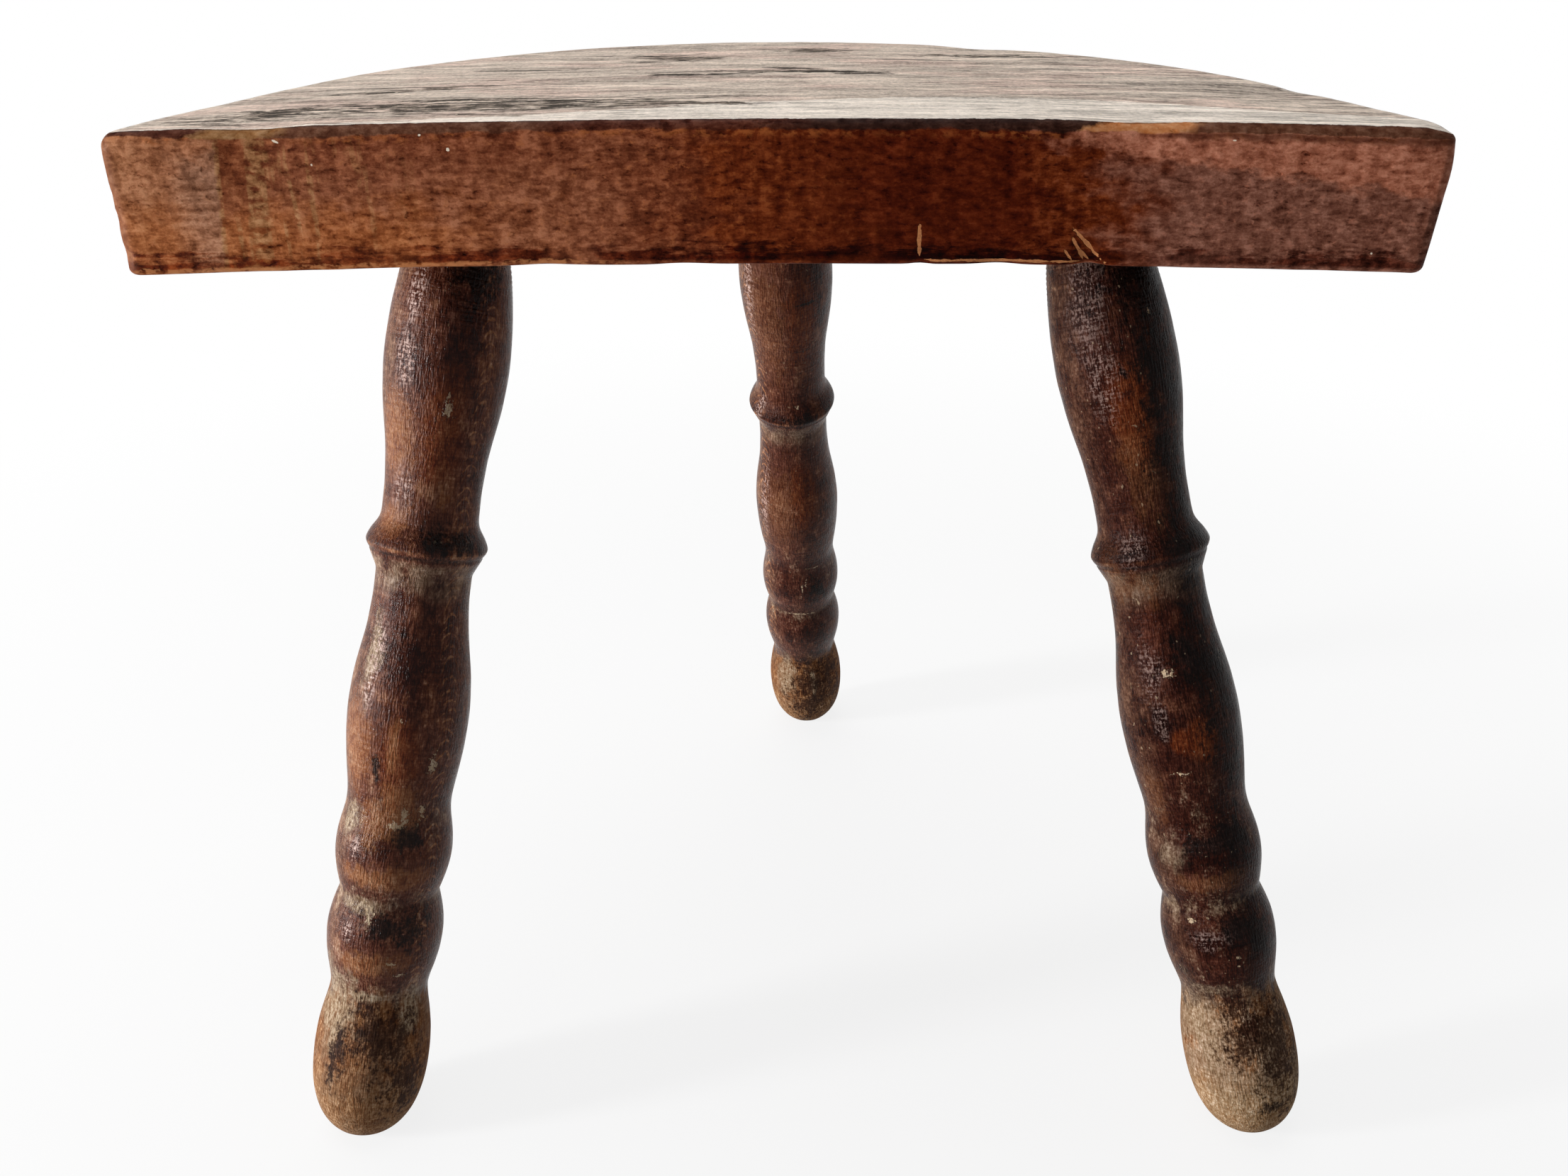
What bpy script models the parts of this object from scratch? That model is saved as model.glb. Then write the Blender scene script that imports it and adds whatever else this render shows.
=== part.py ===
"""Three-legged milking stool: a D-shaped plank seat on three turned legs.

Metres, +Z up. The stool stands on z = 0 with the straight edge of its seat towards -Y, and the
origin lies on the floor under the middle of the stool's box.
"""

from collections import namedtuple
from math import atan, cos, hypot, pi, radians, sin, tan

import bmesh
import bpy
from mathutils import Vector

MM = 0.001

# Seat plank
SEAT_HEIGHT = 287.6 * MM
SEAT_WIDTH = 302 * MM
SEAT_DEPTH = 177 * MM
SEAT_THICKNESS = 32 * MM
UNDERSIDE = SEAT_HEIGHT - SEAT_THICKNESS
FLANK_ANGLE = radians(14)
CORNER_RADIUS = 3.5 * MM
TOP_ARRIS = 3 * MM
LOWER_ARRIS = 2 * MM

# Round tenon in its blind mortise
TENON_RADIUS = 13 * MM
JOINT_GAP = 0.3 * MM
MORTISE_COVER = 6.5 * MM
NECK_REVEAL = 0.7 * MM

# Lengths of the leg's turned forms, from the seat down. The calf takes up what they leave of the leg,
# and its fullest ring lies at a share of its own length
BELLY_RISE = 33 * MM
BELLY_FALL = 36.5 * MM
WAIST_LENGTH = 4 * MM
COLLAR_RISE = 11 * MM
COLLAR_FALL = 10 * MM
COVE_LENGTH = 3 * MM
CALF_CREST = 0.57
BEAD_1_RISE = 14 * MM
BEAD_1_FALL = 13 * MM
BEAD_2_RISE = 13 * MM
BEAD_2_FALL = 17.5 * MM
FOOT_RISE = 21.5 * MM
FOOT_TIP = 28.5 * MM

# Radii of the same forms
BELLY_RADIUS = 16.2 * MM
WAIST_RADIUS = 12.7 * MM
COLLAR_RADIUS = 16.1 * MM
COVE_RADIUS = 12.8 * MM
CALF_RADIUS = 16.35 * MM
GROOVE_1_RADIUS = 13.75 * MM
BEAD_1_RADIUS = 16 * MM
GROOVE_2_RADIUS = 13.6 * MM
BEAD_2_RADIUS = 16.05 * MM
GROOVE_3_RADIUS = 13 * MM
FOOT_RADIUS = 16.2 * MM

# The shortest foot loses this much when the three are sawn level
FOOT_TRIM = 1.7 * MM

# Where each leg is bored in: from the seat's end and its straight edge, or from the back
LEFT_END_INSET = 67 * MM
LEFT_FRONT_INSET = 54 * MM
RIGHT_END_INSET = 68.5 * MM
RIGHT_FRONT_INSET = 48.5 * MM
REAR_INSET = 58 * MM

# Bored and turned by hand, the legs differ a little: each has its own lean to the right and to
# the back as it goes down, and its own girth beside the radii above
Leg = namedtuple("Leg", "name x y lean_right lean_back girth")
LEGS = (
    Leg(name="leg_front_left", x=LEFT_END_INSET - SEAT_WIDTH / 2, y=LEFT_FRONT_INSET,
        lean_right=radians(-9.5), lean_back=radians(-16.9), girth=1.035),
    Leg(name="leg_front_right", x=SEAT_WIDTH / 2 - RIGHT_END_INSET, y=RIGHT_FRONT_INSET,
        lean_right=radians(13.6), lean_back=radians(-15.4), girth=1.0),
    Leg(name="leg_rear", x=0.0, y=SEAT_DEPTH - REAR_INSET,
        lean_right=radians(2.1), lean_back=radians(19.4), girth=0.96),
)

# Facets, and the distance that welds doubled points
ARC_STEP = radians(6.3)
CORNER_STEP = radians(18)
TURNING_STEPS = 24
SPAN_STEPS = 4
TIP_STEPS = 5
ARRIS_SEGMENTS = 2
WELD = 0.01 * MM


def clear_scene():
    """Remove every object that the scene holds."""
    for obj in list(bpy.data.objects):
        bpy.data.objects.remove(obj, do_unlink=True)


def new_collection(name):
    """Make a collection under the scene's own."""
    collection = bpy.data.collections.new(name)
    bpy.context.scene.collection.children.link(collection)
    return collection


def wood(name, colour, roughness):
    """A plain Principled wood finish."""
    material = bpy.data.materials.new(name)
    material.use_nodes = True
    shader = material.node_tree.nodes["Principled BSDF"]
    shader.inputs["Base Color"].default_value = (*colour, 1.0)
    shader.inputs["Roughness"].default_value = roughness
    shader.inputs["Metallic"].default_value = 0.0
    material.diffuse_color = (*colour, 1.0)
    return material


def arc(centre_x, centre_y, radius, start, end, step):
    """Points along a circular arc, both ends included."""
    count = max(2, round(abs(end - start) / step))
    turns = [start + (end - start) * i / count for i in range(count + 1)]
    return [(centre_x + radius * cos(t), centre_y + radius * sin(t)) for t in turns]


def seat_outline():
    """The seat's plan, from the middle of its straight edge: two flanks run back from the rounded
    front corners, lean in by the flank angle and flow into one arc around the back."""
    corner_x = SEAT_WIDTH / 2 - CORNER_RADIUS
    flank_out = corner_x * cos(FLANK_ANGLE) + CORNER_RADIUS * sin(FLANK_ANGLE) + CORNER_RADIUS
    back_y = (SEAT_DEPTH - flank_out) / (1 - sin(FLANK_ANGLE))
    right = arc(corner_x, CORNER_RADIUS, CORNER_RADIUS, -pi / 2, FLANK_ANGLE, CORNER_STEP)
    back = arc(0.0, back_y, SEAT_DEPTH - back_y, FLANK_ANGLE, pi - FLANK_ANGLE, ARC_STEP)
    left = [(-x, y) for x, y in reversed(right)]
    return right + back + left


def as_mesh_object(curve_object):
    """Turn a filled curve into a welded mesh object with flat, undivided caps."""
    bpy.context.view_layer.update()
    depsgraph = bpy.context.evaluated_depsgraph_get()
    mesh = bpy.data.meshes.new_from_object(curve_object.evaluated_get(depsgraph))
    shape = bmesh.new()
    shape.from_mesh(mesh)
    bmesh.ops.remove_doubles(shape, verts=shape.verts, dist=WELD)
    bmesh.ops.dissolve_limit(shape, angle_limit=radians(0.5), verts=shape.verts, edges=shape.edges)
    bmesh.ops.recalc_face_normals(shape, faces=shape.faces)
    shape.to_mesh(mesh)
    shape.free()
    name = curve_object.name
    curve = curve_object.data
    bpy.data.objects.remove(curve_object)
    bpy.data.curves.remove(curve)
    mesh.name = name
    return bpy.data.objects.new(name, mesh)


def round_arris(obj, group_name, width, chosen):
    """Bevel the edges between the chosen vertices."""
    group = obj.vertex_groups.new(name=group_name)
    group.add([v.index for v in obj.data.vertices if chosen(v.co)], 1.0, "REPLACE")
    bevel = obj.modifiers.new(group_name, "BEVEL")
    bevel.width = width
    bevel.segments = ARRIS_SEGMENTS
    bevel.limit_method = "VGROUP"
    bevel.vertex_group = group.name


def make_seat(collection):
    """The plank: its plan as a filled curve, pushed to the board's thickness, its arrises eased."""
    curve = bpy.data.curves.new("seat_board", "CURVE")
    curve.dimensions = "2D"
    curve.fill_mode = "BOTH"
    curve.extrude = SEAT_THICKNESS / 2
    outline = seat_outline()
    spline = curve.splines.new("POLY")
    spline.points.add(len(outline) - 1)
    for point, (x, y) in zip(spline.points, outline):
        point.co = (x, y, 0.0, 1.0)
    spline.use_cyclic_u = True
    drawn = bpy.data.objects.new("seat_board", curve)
    collection.objects.link(drawn)
    seat = as_mesh_object(drawn)
    collection.objects.link(seat)
    seat.location.z = UNDERSIDE + SEAT_THICKNESS / 2
    round_arris(seat, "top_arris", TOP_ARRIS, lambda co: co.z > 0)
    round_arris(seat, "lower_arris", LOWER_ARRIS, lambda co: co.z < 0)
    seat.data.shade_smooth()
    seat.data.set_sharp_from_angle(angle=radians(35))
    seat.data.materials.append(wood("weathered_seat_wood", (0.22, 0.11, 0.06), 0.6))
    return seat


def lean(leg):
    """Angle between the leg and the upright."""
    return atan(hypot(tan(leg.lean_right), tan(leg.lean_back)))


def leg_direction(leg):
    """Unit vector down the leg."""
    return Vector((tan(leg.lean_right), tan(leg.lean_back), -1.0)).normalized()


def tenon_length(leg):
    """Length along the leg that leaves the mortise's cover of wood above the tilted hole."""
    room = SEAT_THICKNESS - MORTISE_COVER - (TENON_RADIUS + JOINT_GAP) * sin(lean(leg))
    return room / cos(lean(leg)) - JOINT_GAP


def neck_length():
    """The tenon's straight run below the seat, enough to clear the slanted mouth of any mortise."""
    return max(TENON_RADIUS * tan(lean(leg)) for leg in LEGS) + NECK_REVEAL


def tip_drop(leg):
    """How far the tilted, still untrimmed foot comes down below the middle of its widest ring."""
    return hypot(FOOT_TIP * cos(lean(leg)), FOOT_RADIUS * leg.girth * sin(lean(leg)))


def foot_distance():
    """Distance along every leg from the seat to the foot's widest ring, long enough that the leg
    which reaches down least still loses its trim at the floor."""
    return max((UNDERSIDE + FOOT_TRIM - tip_drop(leg)) / cos(lean(leg)) for leg in LEGS)


def calf_length():
    """What the other forms leave of the leg between the seat and the foot's widest ring."""
    forms = (BELLY_RISE, BELLY_FALL, WAIST_LENGTH, COLLAR_RISE, COLLAR_FALL, COVE_LENGTH,
             BEAD_1_RISE, BEAD_1_FALL, BEAD_2_RISE, BEAD_2_FALL, FOOT_RISE)
    return foot_distance() - neck_length() - sum(forms)


def swell(points, length, radius):
    """Carry the profile on to a new radius, level at both ends."""
    below, start = points[-1]
    for i in range(1, SPAN_STEPS + 1):
        share = i / SPAN_STEPS
        points.append((below + length * share, start + (radius - start) * (1 - cos(pi * share)) / 2))


def rise(points, length, radius):
    """Carry the profile from the sharp bottom of a groove up to a crest, level at the crest."""
    below, start = points[-1]
    for i in range(1, SPAN_STEPS + 1):
        share = i / SPAN_STEPS
        points.append((below + length * share, start + (radius - start) * sin(pi / 2 * share)))


def fall(points, length, radius):
    """Carry the profile from a level crest down into the sharp bottom of a groove."""
    below, start = points[-1]
    for i in range(1, SPAN_STEPS + 1):
        share = i / SPAN_STEPS
        points.append((below + length * share, radius + (start - radius) * cos(pi / 2 * share)))


def run(points, length):
    """Carry the profile straight on at its radius."""
    below, radius = points[-1]
    points.append((below + length, radius))


def round_off(points, length):
    """Close the profile with a quarter of an ellipse that ends on the axis."""
    below, radius = points[-1]
    for i in range(1, TIP_STEPS):
        turn = pi / 2 * i / TIP_STEPS
        points.append((below + length * sin(turn), radius * cos(turn)))
    points.append((below + length, 0.0))


def leg_profile(leg):
    """Distance below the seat and radius, from the tenon's top to the foot's tip."""
    top = tenon_length(leg)
    points = [(-top, 0.0), (-top, TENON_RADIUS)]
    run(points, top + neck_length())
    rise(points, BELLY_RISE, BELLY_RADIUS * leg.girth)
    swell(points, BELLY_FALL, WAIST_RADIUS * leg.girth)
    run(points, WAIST_LENGTH)
    swell(points, COLLAR_RISE, COLLAR_RADIUS * leg.girth)
    swell(points, COLLAR_FALL, COVE_RADIUS * leg.girth)
    run(points, COVE_LENGTH)
    swell(points, calf_length() * CALF_CREST, CALF_RADIUS * leg.girth)
    fall(points, calf_length() * (1 - CALF_CREST), GROOVE_1_RADIUS * leg.girth)
    rise(points, BEAD_1_RISE, BEAD_1_RADIUS * leg.girth)
    fall(points, BEAD_1_FALL, GROOVE_2_RADIUS * leg.girth)
    rise(points, BEAD_2_RISE, BEAD_2_RADIUS * leg.girth)
    fall(points, BEAD_2_FALL, GROOVE_3_RADIUS * leg.girth)
    rise(points, FOOT_RISE, FOOT_RADIUS * leg.girth)
    round_off(points, FOOT_TIP)
    return points


def stand_along(obj, leg):
    """Put an object's own -Z axis down the leg, from the mouth of the leg's mortise."""
    obj.location = (leg.x, leg.y, UNDERSIDE)
    obj.rotation_euler = (-leg_direction(leg)).to_track_quat("Z", "Y").to_euler()


def make_leg(leg, finish, collection):
    """A leg turned from its profile, tenon and foot in one with it."""
    profile = leg_profile(leg)
    mesh = bpy.data.meshes.new(leg.name)
    edges = [(i, i + 1) for i in range(len(profile) - 1)]
    mesh.from_pydata([(radius, 0.0, -below) for below, radius in profile], edges, [])
    mesh.materials.append(finish)
    obj = bpy.data.objects.new(leg.name, mesh)
    collection.objects.link(obj)
    turning = obj.modifiers.new("turning", "SCREW")
    turning.axis = "Z"
    turning.angle = 2 * pi
    turning.steps = TURNING_STEPS
    turning.render_steps = TURNING_STEPS
    turning.use_merge_vertices = True
    turning.merge_threshold = WELD
    turning.use_smooth_shade = True
    stand_along(obj, leg)
    return obj


def as_cutter(obj, collection):
    """Keep a helper body out of sight, in the cutters' own collection."""
    for holder in list(obj.users_collection):
        holder.objects.unlink(obj)
    collection.objects.link(obj)
    obj.hide_render = True
    obj.display_type = "WIRE"


def cut(obj, cutter):
    """Take the cutter's body out of an object."""
    boolean = obj.modifiers.new(cutter.name, "BOOLEAN")
    boolean.operation = "DIFFERENCE"
    boolean.solver = "EXACT"
    boolean.object = cutter


def make_mortise(leg, collection):
    """The auger's hole for one tenon: blind above, and run well out below the seat."""
    top = tenon_length(leg) + JOINT_GAP
    runout = SEAT_THICKNESS
    bpy.ops.mesh.primitive_cylinder_add(
        vertices=TURNING_STEPS, radius=TENON_RADIUS + JOINT_GAP, depth=top + runout)
    cutter = bpy.context.active_object
    cutter.name = f"mortise_{leg.name}"
    for vertex in cutter.data.vertices:
        vertex.co.z += (top - runout) / 2
    stand_along(cutter, leg)
    as_cutter(cutter, collection)
    return cutter


def make_floor_saw(collection):
    """A slab under the floor that trims the three feet level."""
    reach = 2 * (SEAT_WIDTH + SEAT_HEIGHT)
    bpy.ops.mesh.primitive_cube_add(size=1.0)
    saw = bpy.context.active_object
    saw.name = "floor_saw"
    for vertex in saw.data.vertices:
        vertex.co.x *= reach
        vertex.co.y = vertex.co.y * reach + SEAT_DEPTH / 2
        vertex.co.z = (vertex.co.z - 0.5) * SEAT_HEIGHT
    as_cutter(saw, collection)
    return saw


def move_to_middle(pieces, root):
    """Slide the whole stool so that the origin lies under the middle of its box."""
    bpy.context.view_layer.update()
    depsgraph = bpy.context.evaluated_depsgraph_get()
    points = []
    for piece in pieces:
        shown = piece.evaluated_get(depsgraph)
        points += [shown.matrix_world @ v.co for v in shown.to_mesh().vertices]
        shown.to_mesh_clear()
    for axis in (0, 1):
        values = [point[axis] for point in points]
        root.location[axis] = -(min(values) + max(values)) / 2


def main():
    """Build the seat and its legs, fit them together and centre the stool."""
    clear_scene()
    parts = new_collection("milking_stool")
    cutters = new_collection("cutters")
    root = bpy.data.objects.new("stool_origin", None)
    parts.objects.link(root)

    seat = make_seat(parts)
    finish = wood("stained_leg_wood", (0.12, 0.035, 0.018), 0.45)
    saw = make_floor_saw(cutters)
    pieces = [seat]
    helpers = [saw]
    for leg in LEGS:
        turned = make_leg(leg, finish, parts)
        cut(turned, saw)
        mortise = make_mortise(leg, cutters)
        cut(seat, mortise)
        pieces.append(turned)
        helpers.append(mortise)
    for obj in pieces + helpers:
        obj.parent = root
    move_to_middle(pieces, root)


main()
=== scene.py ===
"""Looks of a three-legged milking stool: its worn plank seat, its turned legs and a plain stage.

Metres, +Z up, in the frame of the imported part. Run as a script.
"""

from math import pi, radians
from typing import NamedTuple

import bpy
import numpy as np
from bpy.props import FloatProperty, FloatVectorProperty, PointerProperty
from mathutils import Matrix, Vector


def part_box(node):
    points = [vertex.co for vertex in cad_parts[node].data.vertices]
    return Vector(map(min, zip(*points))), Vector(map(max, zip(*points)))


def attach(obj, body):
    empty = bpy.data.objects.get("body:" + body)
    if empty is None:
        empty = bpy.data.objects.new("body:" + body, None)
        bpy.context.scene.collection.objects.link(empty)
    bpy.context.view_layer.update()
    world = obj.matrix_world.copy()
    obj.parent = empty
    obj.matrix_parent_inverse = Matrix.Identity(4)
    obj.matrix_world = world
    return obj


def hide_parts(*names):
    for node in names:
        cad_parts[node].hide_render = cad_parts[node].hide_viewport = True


bl_info = {
    "name": "Milking Stool Looks",
    "version": (1, 0, 0),
    "blender": (4, 5, 0),
    "location": "3D View > Sidebar > Stool",
    "description": "Makes the worn plank, the turned legs and the stage of a milking stool",
    "category": "Object",
}

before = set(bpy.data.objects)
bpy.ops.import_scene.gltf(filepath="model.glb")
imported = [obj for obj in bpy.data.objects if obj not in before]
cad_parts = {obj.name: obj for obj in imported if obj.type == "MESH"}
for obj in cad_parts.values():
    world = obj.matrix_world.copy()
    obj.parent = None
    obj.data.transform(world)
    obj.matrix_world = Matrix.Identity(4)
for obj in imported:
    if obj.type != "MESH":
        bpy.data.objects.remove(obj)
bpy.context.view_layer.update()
SEAT_LOW, SEAT_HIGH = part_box("seat_board")
SEAT_WIDTH, SEAT_DEPTH, SEAT_THICK = SEAT_HIGH - SEAT_LOW
FRONT_EDGE = ((SEAT_LOW.x + SEAT_HIGH.x) / 2, SEAT_LOW.y, SEAT_HIGH.z)
LEG_NODES = ("leg_front_left", "leg_front_right", "leg_rear")
MM = 0.001


def length(default, name, description):
    """A length in metres that the user can set."""
    return FloatProperty(name=name, description=description, default=default, unit="LENGTH", precision=5)


def colour(default, name, description):
    """A scene-linear colour that the user can set."""
    return FloatVectorProperty(name=name, description=description, default=default, subtype="COLOR",
                               size=3, min=0.0, max=1.0)


class SeatSettings(bpy.types.PropertyGroup):
    """Sizes and colours of the plank."""

    flank_angle: FloatProperty(name="Flank angle", default=radians(14), unit="ROTATION",
                               description="How far the two ends lean in towards the back")
    corner: length(3.5 * MM, "Corner radius", "Rounding of the two front corners, seen from above")
    top_arris: length(2.7 * MM, "Top arris", "Rounding of the worn upper edge")
    low_arris: length(1.7 * MM, "Lower arris", "Rounding of the lower edge")
    bow: length(2.6 * MM, "Bow", "How far the ends have sagged below the middle")
    lean: length(2.3 * MM, "Lean", "How far the right end leans out at its top")
    bare: colour((0.52, 0.435, 0.365), "Bare wood", "Weathered wood of the seat's top")
    furrow: colour((0.20, 0.15, 0.115), "Furrows", "Darker grain of the bare top")
    rosy: colour((0.535, 0.415, 0.350), "Rosy wood", "Where a trace of stain is left in the top")
    cream: colour((0.75, 0.67, 0.588), "Cream strip", "Pale sapwood along the front edge")
    soot: colour((0.035, 0.030, 0.025), "Soot", "Black stains and open checks")
    tan: colour((0.300, 0.118, 0.052), "Tan", "Stained edge where it has worn pale")
    russet: colour((0.200, 0.064, 0.029), "Russet", "Stained edge in its usual tone")
    rust: colour((0.105, 0.0175, 0.0034), "Rust", "Stained edge where it begins to darken")
    maroon: colour((0.057, 0.0066, 0.0013), "Maroon", "Stained edge where it is thickest")
    mauve: colour((0.166, 0.062, 0.039), "Mauve", "Stained edge under grey wear")
    brick: colour((0.310, 0.106, 0.060), "Brick", "Redder stain above the mauve")
    ember: colour((0.290, 0.083, 0.021), "Ember", "Warm stain along the lower half")
    film: colour((0.27, 0.165, 0.115), "Film", "Grey film beside the lap mark")
    arris: colour((0.052, 0.0125, 0.0062), "Arris", "Dark varnish along the worn upper edge")
    char: colour((0.019, 0.007, 0.0045), "Char", "The darkest stretch of that edge")
    umber: colour((0.090, 0.034, 0.018), "Umber", "The browner stretches of that edge")
    olive: colour((0.27, 0.135, 0.055), "Olive", "Pale wood beside the lap mark")
    raw: colour((0.46, 0.185, 0.070), "Raw wood", "Wood laid bare by chips and rubbing")
    under: colour((0.13, 0.065, 0.038), "Underside", "Thin stain on the sawn underside")


class LegSettings(bpy.types.PropertyGroup):
    """Sizes and colours of the turned legs."""

    ring_spacing: length(3.4 * MM, "Growth arcs", "Distance between two arcs of the growth rings")
    ridge_pitch: length(1.35 * MM, "Tool ridges", "Distance between the ridges left by the gouge")
    stain: colour((0.098, 0.029, 0.0145), "Stain", "Red-brown stain in its usual tone")
    deep: colour((0.060, 0.0155, 0.0080), "Deep stain", "Where the stain lies thickest")
    dim: colour((0.027, 0.0062, 0.0032), "Dim stain", "Browner stain of the darker leg")
    rust: colour((0.125, 0.026, 0.0055), "Rust", "Red glow of the clear stain")
    worn: colour((0.27, 0.110, 0.045), "Worn", "Orange wood that shows through where it is rubbed")
    dust: colour((0.30, 0.218, 0.140), "Dust", "Pale dust held in the grooves")
    # Painted light: the stain made paler on the left of each leg, where the key light falls.
    lit_side_tint: colour((0.142, 0.072, 0.040), "Faded", "Stain bleached by the light on the left of a leg")
    # Painted highlight: the greyish sheen where the key light glints on the left of a leg.
    painted_sheen: colour((0.42, 0.285, 0.245), "Haze", "Greyed, crazed varnish where hands have polished it")
    nick: colour((0.50, 0.38, 0.26), "Nick", "Bare wood in small knocks")
    # Black soiling, and painted shade under the seat, under the collar's crest and down the right side of
    # the right leg.
    grime_and_shade: colour((0.010, 0.005, 0.004), "Grime", "Black dirt")
    foot: colour((0.275, 0.195, 0.125), "Foot", "Bare, trodden wood of the feet")
    toe: colour((0.34, 0.205, 0.100), "Toe", "Wood rubbed clean at the bottom of a foot")
    foot_mid: colour((0.140, 0.048, 0.013), "Foot brown", "Brown between the pale wood and the wet marks")
    foot_dark: colour((0.034, 0.012, 0.006), "Foot stains", "Wet marks on the feet")


class StageSettings(bpy.types.PropertyGroup):
    """Camera, floor and lights."""

    lens: FloatProperty(name="Lens", description="Focal length on a 36 mm wide sensor, in mm",
                        default=30.25, min=10.0)
    camera_place: FloatVectorProperty(
        name="Camera place", description="From the middle of the seat's upper front edge", size=3,
        subtype="TRANSLATION", default=(7.0 * MM, -303.75 * MM, 43.1 * MM), precision=4)
    pitch: FloatProperty(name="Pitch", description="How far the camera looks down", unit="ROTATION",
                         default=radians(27.66))
    yaw: FloatProperty(name="Yaw", description="How far the camera looks to the right", unit="ROTATION",
                       default=radians(-0.9))
    roll: FloatProperty(name="Roll", description="Turn about the line of sight", unit="ROTATION",
                        default=radians(-0.335))
    floor_radius: length(12.0, "Floor radius", "Size of the round floor")
    floor: colour((0.75, 0.75, 0.75), "Floor colour", "Pale, matt floor")
    ambient: FloatProperty(name="Ambient", description="Strength of the even light from all sides",
                           default=0.12, min=0.0)


# Shapes as whole arrays


def lattice(cell, seed):
    """Random value in -1 to 1 for every whole-number cell, from the cell's numbers alone."""
    mixed = cell[..., 0] * 374761393 + cell[..., 1] * 668265263 + cell[..., 2] * 2147483647 + seed * 974711
    mixed = (mixed ^ (mixed >> 13)) * 1274126177
    mixed = (mixed ^ (mixed >> 16)) & 0xFFFF
    return mixed / 32767.5 - 1.0


def ripple(points, size, seed):
    """Smooth random value at each point: the values of the cell's eight corners, eased into each other."""
    cells = points / np.asarray(size)
    low = np.floor(cells).astype(np.int64)
    share = cells - low
    share = share * share * (3 - 2 * share)
    total = np.zeros(points.shape[:-1])
    for corner in np.ndindex(2, 2, 2):
        weight = np.prod(np.where(corner, share, 1 - share), axis=-1)
        total += weight * lattice(low + np.array(corner), seed)
    return total


def bump(value, middle, spread):
    """Bell curve of height 1 around a middle."""
    return np.exp(-(((value - middle) / spread) ** 2))


def add_mesh(name, points, quads, triangles=None):
    """Object with the given corners and faces, shaded smooth, at the origin."""
    faces = quads.tolist() + ([] if triangles is None else triangles.tolist())
    mesh = bpy.data.meshes.new(name)
    mesh.from_pydata(points.tolist(), [], faces)
    mesh.shade_smooth()
    mesh.update()
    obj = bpy.data.objects.new(name, mesh)
    bpy.context.scene.collection.objects.link(obj)
    return obj


def set_attribute(obj, name, values):
    """Store one length, or one place, in millimetres for each point of an object's mesh."""
    vector = values.ndim == 2
    kind = "FLOAT_VECTOR" if vector else "FLOAT"
    attribute = obj.data.attributes.new(name, kind, "POINT")
    attribute.data.foreach_set("vector" if vector else "value", (values / MM).astype(np.float32).ravel())


def strip_faces(rings):
    """Squares between closed rings of point numbers, one row for each ring."""
    after = np.roll(rings, -1, axis=1)
    return np.stack([rings[:-1], rings[1:], after[1:], after[:-1]], axis=-1).reshape(-1, 4)


def hand_over(obj, node, material):
    """Let a finished piece stand for its CAD node."""
    obj.data.materials.append(material)
    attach(obj, "root")
    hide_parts(node)


# The plank

FRONT_CELLS = 300
SIDE_CELLS = 160
ARC_POINTS = 400
BACK_SPAN = radians(42)
CROWDING = 0.5
ARRIS_ROWS = 9
RIM_ROWS = 18
LOW_ROWS = 7
UNDER_RINGS = 12
UNDER_MIDDLE = 0.42
UNDER_RUN = 2 * MM
ARRIS_WAVER = 0.18
GRAIN_MARGIN = 4 * MM
GRAIN_EASE = 6 * MM
LEAN_REACH = 30 * MM
LEAN_TAPER = 1.3


class PlankPlan(NamedTuple):
    """Closed outline of the plank, counter-clockwise from the right end of its straight edge."""

    run: np.ndarray
    turn: np.ndarray
    x: np.ndarray
    y: np.ndarray


def plank_plan(seat):
    """Three arcs in the order of their outward angle, joined by the straight runs that touch them: the
    right corner, the back and the left corner. x is from the middle and y from the straight edge."""
    flank = seat.flank_angle
    corner_x = SEAT_WIDTH / 2 - seat.corner
    flank_out = corner_x * np.cos(flank) + seat.corner * np.sin(flank) + seat.corner
    back_y = (SEAT_DEPTH - flank_out) / (1 - np.sin(flank))
    bounds = (-pi / 2, flank, pi - flank, 3 * pi / 2)
    turn = np.concatenate([np.linspace(a, b, ARC_POINTS) for a, b in zip(bounds, bounds[1:])])
    radius = np.repeat((seat.corner, SEAT_DEPTH - back_y, seat.corner), ARC_POINTS)
    x = np.repeat((corner_x, 0.0, -corner_x), ARC_POINTS) + radius * np.cos(turn)
    y = np.repeat((seat.corner, back_y, seat.corner), ARC_POINTS) + radius * np.sin(turn)
    turn = np.append(turn, 3 * pi / 2)
    x = np.append(x, x[0])
    y = np.append(y, y[0])
    run = np.concatenate([[0.0], np.cumsum(np.hypot(np.diff(x), np.diff(y)))])
    return PlankPlan(run, turn, x, y)


def crowd(start, end, count):
    """Stations from start up to, and without, end, that lie closer together near both."""
    share = np.arange(count) / count
    share = share - CROWDING * np.sin(2 * pi * share) / (2 * pi)
    return start + (end - start) * share


def rim_stations(plan, seat):
    """Stations round the outline: right side, back, left side and front, parted at the two front corners
    and at two points of the back."""
    corner_turn = (seat.flank_angle - pi / 2) / 2
    turns = (corner_turn, pi / 2 - BACK_SPAN, pi / 2 + BACK_SPAN, pi - corner_turn)
    right, back, left, front = np.interp(turns, plan.turn, plan.run)
    around = plan.run[-1]
    sides = ((right, back, SIDE_CELLS), (back, left, FRONT_CELLS), (left, front, SIDE_CELLS),
             (front, right + around, FRONT_CELLS))
    return np.concatenate([crowd(*side) for side in sides]) % around


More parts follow.
